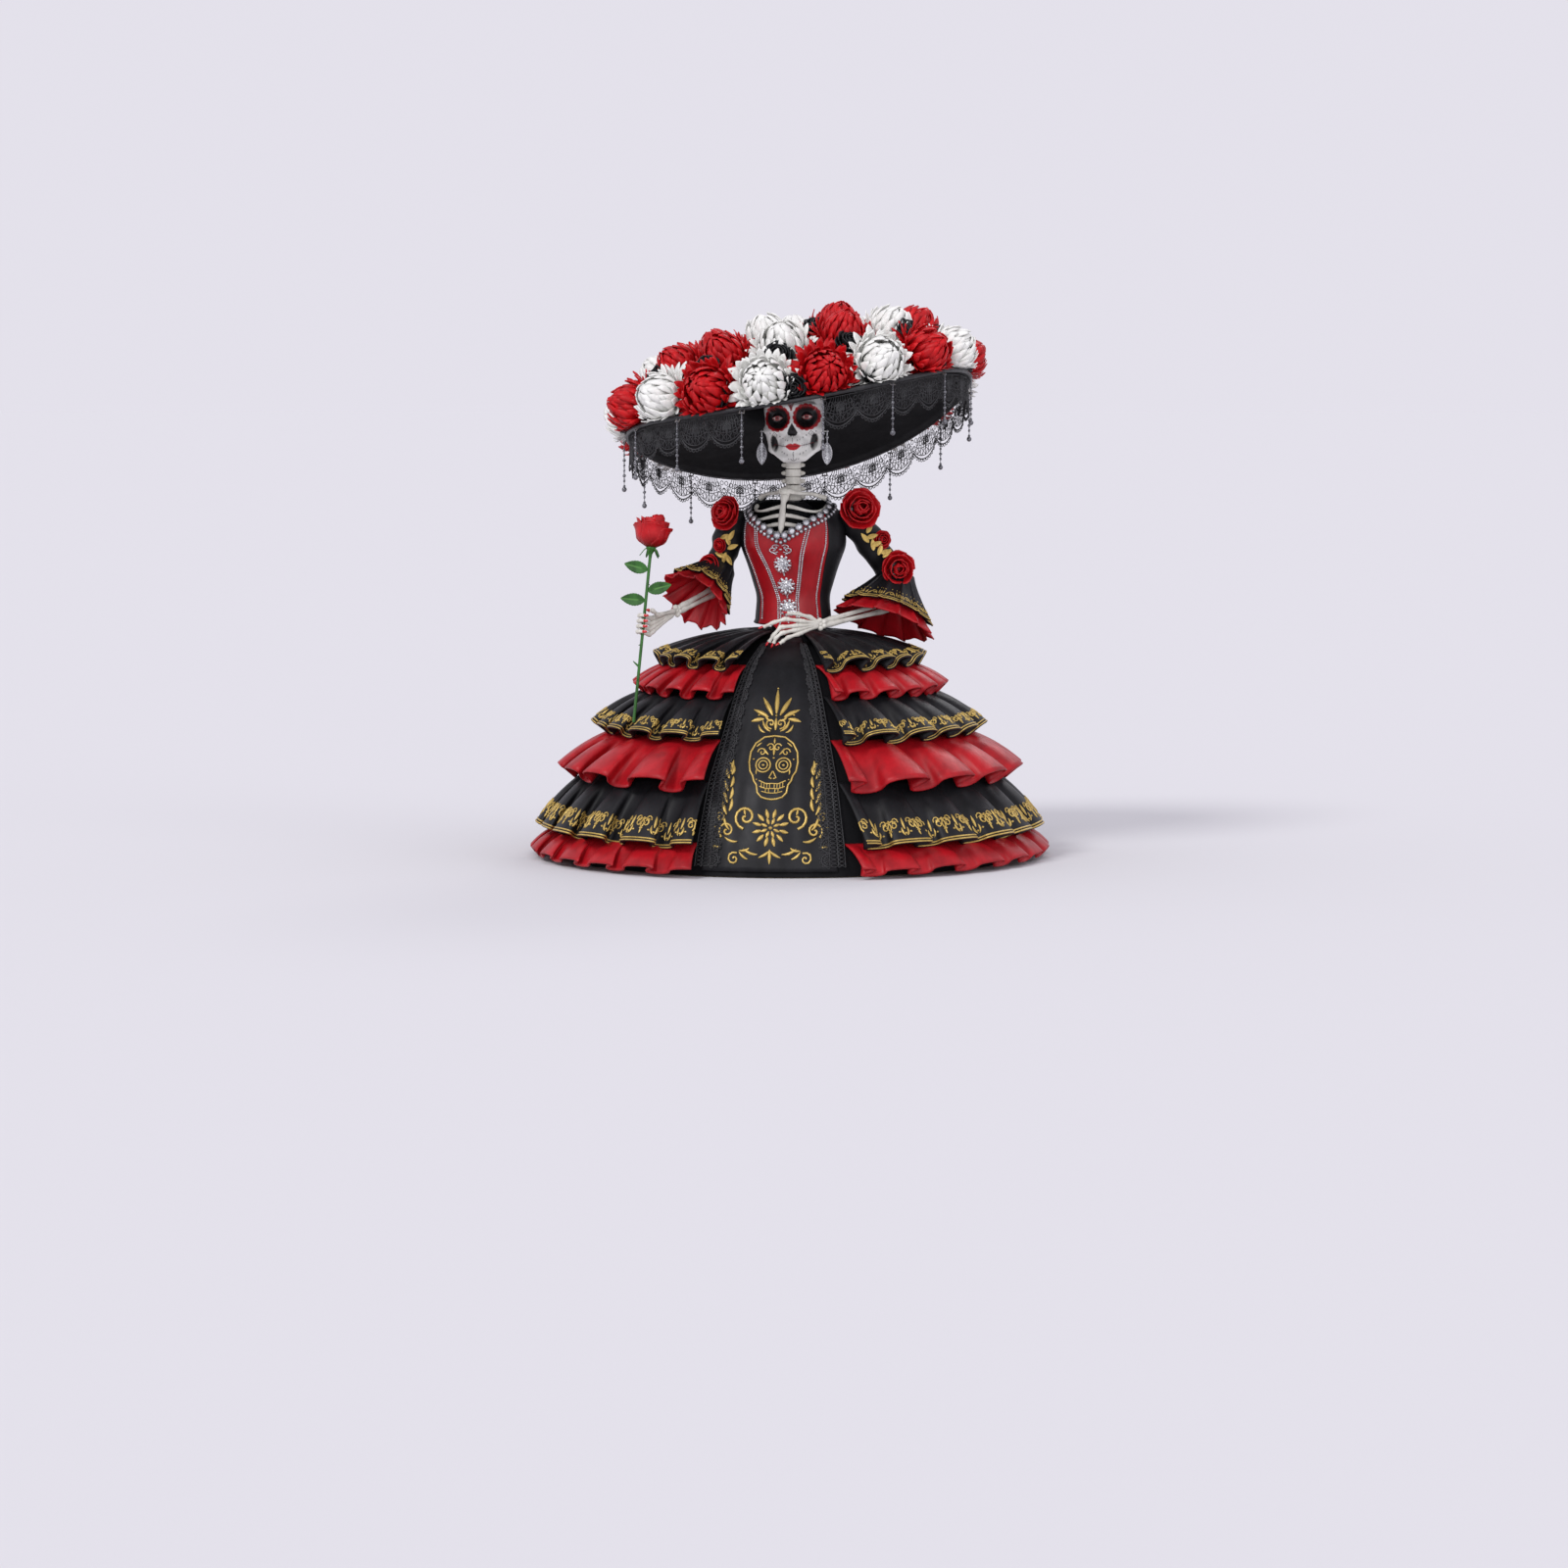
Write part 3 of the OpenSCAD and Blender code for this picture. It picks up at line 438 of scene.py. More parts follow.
def leaf_stroke(x, y, way, length, width, bend=0.0):
    """A leaf from its foot. The bend turns its tip, in degrees."""
    t = np.array([0, 0.2, 0.45, 0.7, 0.88, 1.0])
    angle = np.radians(way + bend * t)
    step = np.diff(t, prepend=0) * length
    points = np.c_[x + np.cumsum(step * np.cos(angle)), y + np.cumsum(step * np.sin(angle))]
    return points, width * np.array([0.25, 0.72, 1.0, 0.8, 0.42, 0.08])


def dot_stroke(x, y, radius):
    t = np.array([-1, -0.6, 0, 0.6, 1.0])
    return np.c_[x + 0.9 * radius * t, y + 0 * t], radius * np.sqrt(1.02 - t * t)


def line_stroke(points, width):
    return np.array(points, float), np.full(len(points), float(width))


def mirrored(strokes):
    return strokes + [(points * (-1, 1), widths) for points, widths in strokes]


def moved(strokes, x, y, size=1.0, turn=0.0):
    c, s = math.cos(math.radians(turn)), math.sin(math.radians(turn))
    spin = size * np.array([[c, s], [-s, c]])
    return [(points @ spin + (x, y), widths * size) for points, widths in strokes]


def lay(strokes, surface, proud=0.3, sink=0.55):
    """Lay flat strokes on a surface. Wide strokes sink in, so that they stand no prouder than thin ones."""
    places = np.concatenate([points for points, widths in strokes])
    radii = np.concatenate([widths for points, widths in strokes])
    solid = surface(places[:, 0], places[:, 1], proud - sink * radii)
    cuts = np.cumsum([len(widths) for points, widths in strokes])[:-1]
    return list(zip(np.split(solid, cuts), np.split(radii, cuts)))
# %% [markdown]
# ## The skirt
# The skirt is a cone of pasted paper with six flounces on it, black and red by turns. Each flounce is a strip
# that is pasted down along its top and stands out in deep folds at its hem. A fold of stiff cloth is not a
# sine wave: it bulges over its neighbours. The rule below gets that from two waves, one that moves the strip
# in and out and one, twice as quick, that slides it along itself.

# %% Shape of the skirt shell
SHELL = [(0.8, 199), (26, 192), (74, 170), (110, 143), (145, 116), (168, 92), (184, 60), (196, 31)]
SKIRT_FRONT = -95
OPENING_HALF = 18.5
shell_radius = rounded(SHELL, 4)


def shell_point(z, off):
    """Radius and height of a point off the skirt shell, measured along its normal."""
    rise = shell_radius(z - 3) - shell_radius(z + 3)
    out = unit(np.stack(np.broadcast_arrays(6.0, rise), axis=-1))
    return shell_radius(z) + off * out[..., 0], z + off * out[..., 1]


def on_shell(x, z, off):
    """A point over the front of the skirt: x is measured round it from the middle of the front."""
    radius, height = shell_point(z, off)
    return around(radius, SKIRT_FRONT + np.degrees(x / shell_radius(z)), height)


# %% Flounces
# Height of the top, radius and height of the hem, number of folds, their depth, how far the lobes hang.
FLOUNCES = [
    ("ruffle_1_black", 194, 115, 172, 22, 7.0, 5.5),
    ("ruffle_2_red", 168, 132, 148, 26, 7.0, 6.0),
    ("ruffle_3_black", 144, 164, 114, 24, 8.5, 7.0),
    ("ruffle_4_red", 109, 194, 78, 20, 10.5, 9.0),
    ("ruffle_5_black", 76, 212, 29, 24, 8.5, 6.5),
    ("ruffle_6_red", 27, 223, 6.5, 28, 4.0, 0.0)]
FLOUNCE_WALL = 1.6
FLOUNCE_BULGE = 3
SLIDE = 0.13
LEAN = 0.15


def flounce_rule(top_z, hem_r, hem_z, folds, depth, hang, seed):
    top_r, top_height = shell_point(top_z, 2.1)
    out = unit([top_height - hem_z, hem_r - top_r])
    luck = np.random.default_rng(seed)
    sizes = luck.uniform(0.72, 1.18, folds + 1)
    shifts = luck.uniform(-0.13, 0.13, folds + 1)

    def place(u, v):
        turn = u * folds
        phase = 2 * np.pi * turn
        gather = np.clip(v, 0, 1.2) ** 0.85
        size = np.interp(turn, np.arange(folds + 1), sizes)
        slide = gather * (SLIDE * np.sin(2 * phase) + LEAN * np.cos(phase - 0.6))
        slide = slide + gather * np.interp(turn, np.arange(folds + 1), shifts)
        wave = depth * size * gather * np.cos(phase) + FLOUNCE_BULGE * 4 * v * (1 - v)
        lobe = hang * size * gather ** 2 * (0.5 + 0.5 * np.cos(phase))
        radius = mix(top_r, hem_r, v) + out[0] * wave + out[1] * lobe * 0.4
        height = mix(top_height, hem_z, v) + out[1] * wave - out[0] * lobe
        angle = SKIRT_FRONT + OPENING_HALF + (360 - 2 * OPENING_HALF) * (u + slide / folds)
        return around(radius, angle, height)

    return place, math.hypot(top_height - hem_z, hem_r - top_r)


flounce_rules = {}
for seed, (name, *sizes) in enumerate(FLOUNCES):
    place, slant = flounce_rule(*sizes, seed + 5)
    flounce_rules[name] = (place, slant)
    black_one = name.endswith("black")
    bm = face_out(bend_grid(place, sizes[3] * 18, 14))
    piece = finish_piece(name + "_cloth", bm, SATIN_BLACK if black_one else SATIN_RED, stands_for=[name])
    wall(piece, FLOUNCE_WALL)
print("flounces:", len(flounce_rules))

# %% [markdown]
# ## Gold on the hems
# Each black flounce has a pair of gold lines at its hem and a running pattern of scrolls above them. The
# pattern is drawn flat, once, in the width of one repeat. It is laid on the folds by measuring along the
# hem, as a painter follows the cloth and not the circle under it.

# %% One repeat of the hem pattern
def scroll_repeat(width, height, bold=0.6):
    half = width / 2
    side = [
        curl(half * 0.90, height * 0.34, height * 0.33, -70, 1.3, bold, 14),
        curl(half * 0.34, height * 0.80, height * 0.20, 200, -1.1, bold * 0.85, 10),
        leaf_stroke(half * 0.06, height * 0.10, 40, height * 0.46, bold * 1.6, 60),
        leaf_stroke(half * 0.50, height * 0.66, 80, height * 0.40, bold * 1.5, -70),
        leaf_stroke(half * 0.80, height * 0.72, 120, height * 0.30, bold * 1.3, 60),
        dot_stroke(half * 0.40, height * 0.30, bold * 1.5)]
    middle = [
        leaf_stroke(0, height * 0.42, 90, height * 0.62, bold * 2.0),
        dot_stroke(0, height * 0.22, bold * 1.6),
        dot_stroke(half, height * 0.92, bold * 1.6),
        leaf_stroke(half, height * 0.10, 90, height * 0.3, bold * 1.4)]
    return mirrored(side) + middle


def follow_hem(place, slant, level):
    """The length along the hem, and the rule that lays a flat pattern on the folds above it."""
    u = np.linspace(0, 1, 2400)
    walk = place(u, np.full_like(u, level))
    length = np.concatenate([[0], np.cumsum(np.linalg.norm(np.diff(walk, axis=0), axis=1))])

    def surface(x, y, lift):
        return lifted(place, np.interp(x, length, u), 1 - y / slant, lift)

    return length[-1], surface


def hem_lines(length, heights, width, step=1.6):
    x = np.linspace(0.5, length - 0.5, int(length / step))
    return [(np.c_[x, np.full_like(x, height)], np.full_like(x, width)) for height in heights]


for name, width, height, low, bold in [("ruffle_1_black", 19, 9.5, 4.0, 0.55),
                                       ("ruffle_3_black", 21, 11, 4.2, 0.6),
                                       ("ruffle_5_black", 26, 17, 4.8, 0.8)]:
    place, slant = flounce_rules[name]
    length, surface = follow_hem(place, slant, 0.86)
    repeats = int(length / width)
    strokes = hem_lines(length, (0.8, 2.9), bold)
    for k in range(repeats):
        strokes += moved(scroll_repeat(width, height, bold), (k + 0.5) * length / repeats, low)
    gold = finish_piece(name + "_gold", stroke_mesh(lay(strokes, surface)), GOLD)
    print(name, "repeats:", repeats, "triangles:", 2 * len(gold.data.polygons))

# %% [markdown]
# ## The front panel
# Between the flounces a plain black panel falls in shallow folds. It is bordered with scalloped lace and
# painted in gold: a plume, a skull in outline, two sprays and a flower. It is drawn flat as well, with the
# height above the floor as its second measure.

# %% Panel cloth
PANEL_HALF = 16.5
PANEL_TOP = 189


def panel_place(u, v):
    z = mix(PANEL_TOP, 5, v)
    fall = np.clip(v * 1.6, 0, 1)
    fold = fall * 0.55 * np.sin(2 * np.pi * 5.5 * u + 1.2 * v) * (0.35 + np.abs(2 * u - 1))
    radius, height = shell_point(z, 1.9 + fold)
    return around(radius, SKIRT_FRONT + PANEL_HALF * (2 * u - 1), height)


panel = finish_piece("front_panel_cloth", face_out(bend_grid(panel_place, 66, 44)), SATIN_BLACK,
                     stands_for=["front_panel"])
wall(panel, 1.4)


# %% Gold painting of the panel
def plume():
    fan = [leaf_stroke(0.12 * way, 130 - 0.05 * abs(way), 90 - way, length, 2.3, -0.35 * way) for way,
           length in
           ((0, 19), (26, 16.5), (-26, 16.5), (54, 14), (-54, 14), (84, 11), (-84, 11))]
    low = mirrored([
        curl(3.4, 118, 4.4, -100, 1.25, 0.8), leaf_stroke(4, 116, 12, 12, 1.4, 66),
        leaf_stroke(8.5, 115, 4, 9, 1.2, 70), leaf_stroke(3.5, 124, 0, 9, 1.2, 75),
        dot_stroke(14.6, 129, 0.9)])
    return fan + low + [leaf_stroke(0, 117, 90, 10, 1.7), dot_stroke(0, 128.6, 1.0), dot_stroke(0, 150, 0.8)]


def oval(x, y, wide, high, width, start=0, sweep=360, steps=26, flat=0.0):
    angle = np.radians(np.linspace(start, start + sweep, steps))
    top = y + high * np.sin(angle) * (1 - flat * (np.sin(angle) < 0))
    return np.c_[x + wide * np.cos(angle), top], np.full(steps, width)


def painted_skull():
    outline = [(0, 105), (8.5, 104), (15.5, 99), (19.4, 92), (20.2, 84), (19, 77), (16.6, 73.5), (15.4, 69.5),
               (13, 66.5), (12, 60.5), (8.6, 57), (4, 55.6), (0, 55.2)]
    side = [
        line_stroke(outline, 0.85), oval(8.4, 82, 6.0, 5.6, 0.75), oval(8.4, 82, 3.6, 3.3, 0.6),
        dot_stroke(8.4, 82, 1.3), line_stroke([(0.3, 77.0), (2.9, 72.0), (0.6, 71.2)], 0.7),
        line_stroke([(0, 67.6), (5, 67.4), (11, 69.8)], 0.6),
        line_stroke([(0, 63.8), (5, 63.6), (10.4, 65.4)], 0.55),
        line_stroke([(0, 60.2), (4, 60.4), (8.6, 61.6)], 0.5), curl(13.6, 92, 3.6, 0, 1.2, 0.65),
        curl(6.0, 97, 3.4, 20, 1.2, 0.65), leaf_stroke(4.4, 90.0, 35, 6.5, 1.0, 30),
        leaf_stroke(13.6, 74.5, 70, 5, 0.8, 40),
        leaf_stroke(10.5, 99.4, -20, 5.5, 0.8, -30), dot_stroke(16.6, 86.5, 0.8), dot_stroke(13.4, 70.6, 0.7)]
    side += [line_stroke([(x, 67.4 + 0.1 * x), (x, 63.7 + 0.05 * x)], 0.42) for x in (1.9, 4.2, 6.5, 8.8)]
    side += [line_stroke([(x, 63.6), (x, 60.4)], 0.4) for x in (2.6, 5.2)]
    middle = [leaf_stroke(0, 89.6, 90, 7.5, 1.2), dot_stroke(0, 87.6, 1.0),
              leaf_stroke(0, 98.8, 90, 4.6, 0.9)]
    return moved(mirrored(side) + middle, 0, 7.5)


def sprays():
    """Two great scrolls that rise from the flower, each with leaves that climb beside the skull."""
    side = [
        curl(22.5, 39, 9.5, -80, 1.4, 1.3, 20), curl(41, 32, 7.0, -50, 1.35, 1.1, 18),
        curl(27, 20, 5.5, 120, -1.3, 0.9), curl(46, 50, 4.2, 30, 1.3, 0.8),
        leaf_stroke(35, 82, 92, 11, 1.7, 10),
        leaf_stroke(34, 38, 30, 13, 1.5, 60), leaf_stroke(27, 29, -20, 12, 1.4, 60),
        leaf_stroke(41, 25, -30, 9, 1.2, 60),
        leaf_stroke(17, 24, -50, 9, 1.4, 60), leaf_stroke(10, 19, -10, 13, 1.4, 50),
        leaf_stroke(18, 15, 10, 10, 1.2, 50),
        leaf_stroke(21, 50, 60, 5, 1.2, 30), dot_stroke(36, 90, 1.2), dot_stroke(47, 40, 1.1),
        dot_stroke(33, 19, 1.1)]
    for k in range(4):
        x, y = 36 - 0.3 * k, 50 + 9.5 * k
        side += [leaf_stroke(x + 1, y, 48, 12 - 1.2 * k, 1.9, 38),
                 leaf_stroke(x - 1, y + 3, 122, 10.5 - k, 1.75, -34)]
    return mirrored(side)


def panel_flower(x, y, size):
    """Broad petals in two rows round a seed, as on a pomegranate flower."""
    petals = []
    for count, inner, reach, width, turn in ((12, 7.4, 7.2, 1.9, 15), (8, 2.8, 5.2, 1.55, 22)):
        for k in range(count):
            way = turn + 360 * k / count
            side = math.radians(way)
            petals.append(leaf_stroke(inner * math.cos(side), inner * math.sin(side), way, reach, width))
    return moved(petals + [dot_stroke(0, 0, 1.7)], x, y, size)


panel_art = plume() + painted_skull() + sprays() + panel_flower(0, 40, 1.05)
panel_art += [leaf_stroke(0, 23, -90, 12, 1.7), leaf_stroke(0, 22, -130, 11, 1.5, -30),
              leaf_stroke(0, 22, -50, 11, 1.5, 30)]
panel_gold = lay(panel_art, lambda x, z, lift: on_shell(x, z, 2.15 + lift), proud=0.35)
finish_piece("front_panel_gold", stroke_mesh(panel_gold, 1), GOLD)

# %% [markdown]
# ## Lace
# Lace is thread and holes, so it is made of threads here. One scallop is a fan: threads that spread from its
# top, arcs across them, a net of small diamonds and a row of loops along its edge. The strips beside the
# panel and the fringe of the hat use the same kind of drawing at two sizes.

# %% Lace down both sides of the panel
LACE_THREAD = 0.5


def edge_scallop(height):
    """A scallop of edging, as wide as its height along the strip. It grows towards +x."""
    half = height / 2
    strokes = [oval(0.4, half, 6.2, half * 0.94, LACE_THREAD, -90, 180, 12),
               oval(0.4, half, 4.2, half * 0.62, LACE_THREAD * 0.8, -90, 180, 10)]
    for way in (-60, -30, 0, 30, 60):
        side = math.radians(way)
        strokes.append(line_stroke([(0.3, half),
                                    (0.4 + 6.0 * math.cos(side), half + half * 0.9 * math.sin(side))],
                                   LACE_THREAD * 0.7))
    for way in np.arange(-80, 81, 32):
        side = math.radians(way)
        strokes.append(oval(0.4 + 6.9 * math.cos(side), half + half * 1.0 * math.sin(side), 1.0, 1.0,
                            LACE_THREAD * 0.75, 0, 360, 7))
    return strokes


def strip_lace(low, high, count):
    pitch = (high - low) / count
    strip = [line_stroke([(x, z) for z in np.linspace(low, high, 60)], LACE_THREAD) for x in (-11.5, -6.2,
                                                                                              0.2)]
    for k in range(count):
        strip += moved(edge_scallop(pitch), 0, low + k * pitch)
    rungs = int((high - low) / 3.2)
    for k in range(rungs):
        z = low + 3.2 * k
        strip.append(line_stroke([(-11.5, z), (-8.8, z + 1.6), (-6.2, z + 3.2)], LACE_THREAD * 0.7))
        strip.append(line_stroke([(-6.2, z), (-8.8, z + 1.6), (-11.5, z + 3.2)], LACE_THREAD * 0.7))
        strip.append(oval(-3.0, z + 1.6, 2.6, 1.3, LACE_THREAD * 0.7, 0, 360, 8))
    return strip


def strip_surface(side):
    """Lay a strip beside the panel, with its scallops towards the middle."""
    def surface(x, z, lift):
        radius, height = shell_point(z, 3.1 + lift)
        return around(radius, SKIRT_FRONT + side * (14.6 - np.degrees(x / 150) * mix(0.85, 0.72, z / 190)),
                      height)
    return surface


def weld(mesh):
    """The same threads, with the cap at each end joined to its tube, so that every thread is closed."""
    bm = bmesh.new()
    bm.from_mesh(mesh)
    bmesh.ops.remove_doubles(bm, verts=bm.verts[:], dist=1e-6)
    bm.to_mesh(mesh)
    bm.free()
    return mesh


STRIP_LOW = 8
STRIP_HIGH = 184
STRIP_SCALLOPS = 15
strips = []
for side in (-1, 1):
    strips += lay(strip_lace(STRIP_LOW, STRIP_HIGH, STRIP_SCALLOPS), strip_surface(side), proud=0.0, sink=0.0)
panel_lace = finish_piece("panel_lace_thread", weld(stroke_mesh(strips)), LACE_BLACK,
                          stands_for=["panel_lace"])


# A strip is cut to the taper of the skirt: a band with scallops and loops along one edge. Its flat size is
# that of this outline on the slope of the skirt, whatever threads fill it.
STRIP_BACK = -11.5
STRIP_BAND = 11.9
STRIP_REACH = 7.9


def strip_cut(surface):
    """The greatest width, the length and the area of one strip's outline, in mm and square mm."""
    z = np.linspace(STRIP_LOW, STRIP_HIGH, 45)
    back, tip = (surface(STRIP_BACK + x + 0 * z, z, 0.0) for x in (0, STRIP_BAND + STRIP_REACH))
    width = np.linalg.norm(tip - back, axis=-1)
    run = np.linalg.norm(np.diff((back + tip) / 2, axis=0), axis=-1)
    filled = (STRIP_BAND + math.pi / 4 * STRIP_REACH) / (STRIP_BAND + STRIP_REACH)
    return width.max(), run.sum(), filled * float(np.sum(run * (width[1:] + width[:-1]) / 2))


strip_width, strip_length, strip_area = strip_cut(strip_surface(1))
print("panel lace threads:", len(strips), "cut", round(strip_width, 1), "x", round(strip_length, 1),
      "mm, twice")
# %% [markdown]
# ## The dress above the waist
# A dressmaker's form is measured by its half width and half depth at a few heights. The same numbers, with a
# turn at the waist and two soft rises at the bust, give every point of the bodice. The front piece is red
# satin, and the back and sides are black.

# %% Shape of the body
SPINE = np.array([3, 2])
half_width = rounded([(180, 35), (200, 33.5), (224, 31.5), (248, 39), (268, 47), (286, 46), (300, 40),
                      (310, 26)], 5)
half_depth = rounded([(184, 32), (200, 28.5), (226, 25.5), (250, 31), (271, 35), (290, 34), (303, 26),
                      (312, 18)], 5)
turn_at = rounded([(186, -6), (220, -10), (260, -18)], 5)
neckline_z = rounded([(-10, 278), (0, 274.5), (30, 288), (70, 301), (90, 306), (120, 307), (180, 307)], 4)
waistline_z = rounded([(-8, 193), (0, 189.5), (8, 193), (16, 200), (24, 202), (180, 202)], 3)
BODICE_SPLIT = 55
BODICE_WALL = 2.4


def dress_point(side, z, off=0.0):
    """A point of the dress. The side is the angle from her front towards her left."""
    yaw = np.radians(turn_at(z))
    bust = 6 * np.exp(-((np.abs(side) - 30) / 16) ** 2) * np.exp(-((z - 268) / 14) ** 2)
    x = (half_width(z) + off) * np.sin(np.radians(side))
    y = -(half_depth(z) + off + bust) * np.cos(np.radians(side))
    return np.stack(np.broadcast_arrays(SPINE[0] + x * np.cos(yaw) - y * np.sin(yaw),
                                        SPINE[1] + x * np.sin(yaw) + y * np.cos(yaw), z), axis=-1)


def bodice_point(side, z, off=0.0):
    radius, height = shell_point(np.minimum(z, 193), 5.0 + off)
    apron = around(radius, SKIRT_FRONT + side, height)
    return mix(dress_point(side, z, off), apron, np.clip((203 - z) / 8, 0, 1)[..., None])


def bodice_sheet(first, last):
    def place(u, v):
        side = mix(first, last, u)
        turned = np.abs((side + 180) % 360 - 180)
        return bodice_point(side, mix(neckline_z(turned), waistline_z(turned), v), 0.0)
    return place


for name, first, last, material, slot in (
        ("bodice_front", -BODICE_SPLIT, BODICE_SPLIT, BODICE_RED, "bodice_red"),
        ("bodice_back", BODICE_SPLIT + 0.8, 360 - BODICE_SPLIT - 0.8, SATIN_BLACK, "dress_black")):
    bm = face_out(bend_grid(bodice_sheet(first, last), 64 if name == "bodice_front" else 90, 44), (3, 2, 240))
    piece = finish_piece(name + "_satin", bm, material, stands_for=[name])
    wall(piece, BODICE_WALL)
    rim_bevel = piece.modifiers.new("soft rim", "BEVEL")
    rim_bevel.width = 0.5 * MM
    rim_bevel.segments = 2
    rim_bevel.limit_method = "ANGLE"
    rim_bevel.angle_limit = math.radians(60)
print("bodice: front and back")

# %% [markdown]
# ## Beads and stones
# Silver beads run down the seams. A bead is a small sphere of a few faces, set along a line at even steps.
# The stones of the collar are round brilliants in cups: a cup is a short cone with a rim, and the stone in
# it has a flat table and slanting sides, which catch the light in flashes.

# %% Rows of beads on the seams
def along_line(points, pitch):
    """Even steps along a line of points."""
    points = np.asarray(points, float)
    run = np.concatenate([[0], np.cumsum(np.linalg.norm(np.diff(points, axis=0), axis=1))])
    at = np.arange(pitch / 2, run[-1], pitch)
    return np.stack([np.interp(at, run, points[:, axis]) for axis in range(3)], axis=-1)


def seam(top_side, low_side):
    t = np.linspace(0, 1, 40)
    side = mix(top_side, low_side, np.minimum(1, t * 1.3))
    z = mix(neckline_z(abs(top_side)) - 3, waistline_z(abs(low_side)) + 3, t)
    return bodice_point(side, z, 0.35)


def small_ball(radius, subdivisions=1):
    bm = bmesh.new()
    bmesh.ops.create_icosphere(bm, subdivisions=subdivisions, radius=radius * MM)
    mesh = bpy.data.meshes.new("ball")
    bm.to_mesh(mesh)
    bm.free()
    return mesh


seed_bead = small_ball(0.95)
bm = bmesh.new()
for sign in (-1, 1):
    for top_side, low_side, rows in ((31, 14, (-0.9, 0.9)), (53, 47, (0.0,))):
        for row in rows:
            line = seam(sign * top_side + row * 1.9, sign * low_side + row * 2.1)
            for point in along_line(line, 1.75):
                add_mesh(bm, seed_bead, Matrix.Translation(Vector(point) * MM))
beads = finish_piece("bodice_seam_beads", bm, SILVER, stands_for=["bodice_trims"])
print("seam beads:", len(beads.data.polygons) // len(seed_bead.polygons))


# %% Set stones
def lathe(outline, steps=16):
    """Spin an outline of radius and height once round Z."""
    bm = bmesh.new()
    points = [bm.verts.new((radius * MM, 0, z * MM)) for radius, z in outline]
    edges = [bm.edges.new(pair) for pair in zip(points, points[1:])]
    bmesh.ops.spin(bm, geom=points + edges, cent=(0, 0, 0), axis=(0, 0, 1), angle=2 * math.pi, steps=steps,
                   use_merge=True)
    bmesh.ops.remove_doubles(bm, verts=bm.verts, dist=0.002 * MM)
    bmesh.ops.recalc_face_normals(bm, faces=bm.faces)
    mesh = bpy.data.meshes.new("lathe")
    bm.to_mesh(mesh)
    bm.free()
    return mesh


def set_stone(radius):
    """A cup, its stone and a ring of grains round it, standing on Z."""
    bm = bmesh.new()
    bm.from_mesh(lathe([(0, -0.8), (0.55 * radius, -0.8), (0.92 * radius, 0.5), (0.92 * radius, 0.85),
                        (0.74 * radius, 0.85), (0.70 * radius, 0.5), (0, 0.3)], 12))
    cup_faces = len(bm.faces)
    bm.from_mesh(lathe([(0, 0.3), (0.74 * radius, 0.62), (0.42 * radius, 1.45), (0, 1.55)], 8))
    bm.faces.ensure_lookup_table()
    for face in bm.faces[cup_faces:]:
        face.material_index = 1
    grain = small_ball(0.17 * radius)
    for k in range(10):
        way = 2 * math.pi * k / 10
        add_mesh(bm, grain,
                 Matrix.Translation((radius * math.cos(way) * MM, radius * math.sin(way) * MM, 0.3 * MM)))
    mesh = bpy.data.meshes.new("set_stone")
    bm.to_mesh(mesh)
    bm.free()
    return mesh


# %% The collar: a row of large stones with small ones at its edge
big_stone = set_stone(3.3)
small_stone = set_stone(1.7)
bm = bmesh.new()
for stone, off_edge, pitch in ((big_stone, 1.2, 7.2), (small_stone, -3.9, 4.1)):
    side = np.linspace(-118, 118, 300)
    line = dress_point(side, neckline_z(np.abs(side)) + off_edge, 0.9)
    sides = along_line(np.c_[line[:, :2], line[:, 2]], pitch)
    for point in sides:
        near = int(np.argmin(np.linalg.norm(line - point, axis=1)))
        out = lifted(lambda u, v: dress_point(u * 100, v * 100, 0.9), side[near:near + 1] / 100,
                     line[near:near + 1, 2] / 100, 1.0)[0] - line[near]
        out = out if out @ (line[near] - (3, 2, line[near][2])) > 0 else -out
        add_mesh(bm, stone, stand(point, out, near * 0.7))
collar = finish_piece("collar_stones", bm, [OLD_SILVER, STONE], stands_for=["collar"],
                      smooth=False)
print("collar faces:", len(collar.data.polygons))


# %% [markdown]
# ## Brooches
# Three silver flowers sit down the middle of the bodice, with a pair of scrolls over the top one and a chain
# of beads that ends in a drop. A brooch is a ring of small domed petals round a set stone.

# %% A brooch
def brooch_mesh():
    bm = bmesh.new()
    bm.from_mesh(lathe([(0, -0.9), (5.2, -0.9), (5.6, -0.3), (5.2, 0.3), (0, 0.9)], 20))
    for count, reach, size, turn in ((10, 6.6, 1.75, 0.0), (10, 4.3, 1.25, 0.31)):
        petal = small_ball(size, 2)
        petal.transform(Matrix.Diagonal((1.25, 0.85, 0.7, 1)))
        for k in range(count):
            spin = Matrix.Rotation(turn + 2 * math.pi * k / count, 4, "Z")
            add_mesh(bm, petal,
                     spin @ Matrix.Translation((reach * MM, 0, (0.2 if count == 10 else 0.6) * MM)))
    tip = small_ball(0.65)
    for k in range(10):
        spin = Matrix.Rotation(0.314 + 2 * math.pi * k / 10, 4, "Z")
        add_mesh(bm, tip, spin @ Matrix.Translation((8.0 * MM, 0, 0)))
    add_mesh(bm, set_stone(2.6), Matrix.Translation((0, 0, 1.2 * MM)))
    mesh = bpy.data.meshes.new("brooch")
    bm.to_mesh(mesh)
    bm.free()
    return mesh


def front_frame(z, off):
    foot = dress_point(np.float64(0), np.float64(z), off)
    return foot, unit(dress_point(np.float64(0), np.float64(z), off + 1) - foot)


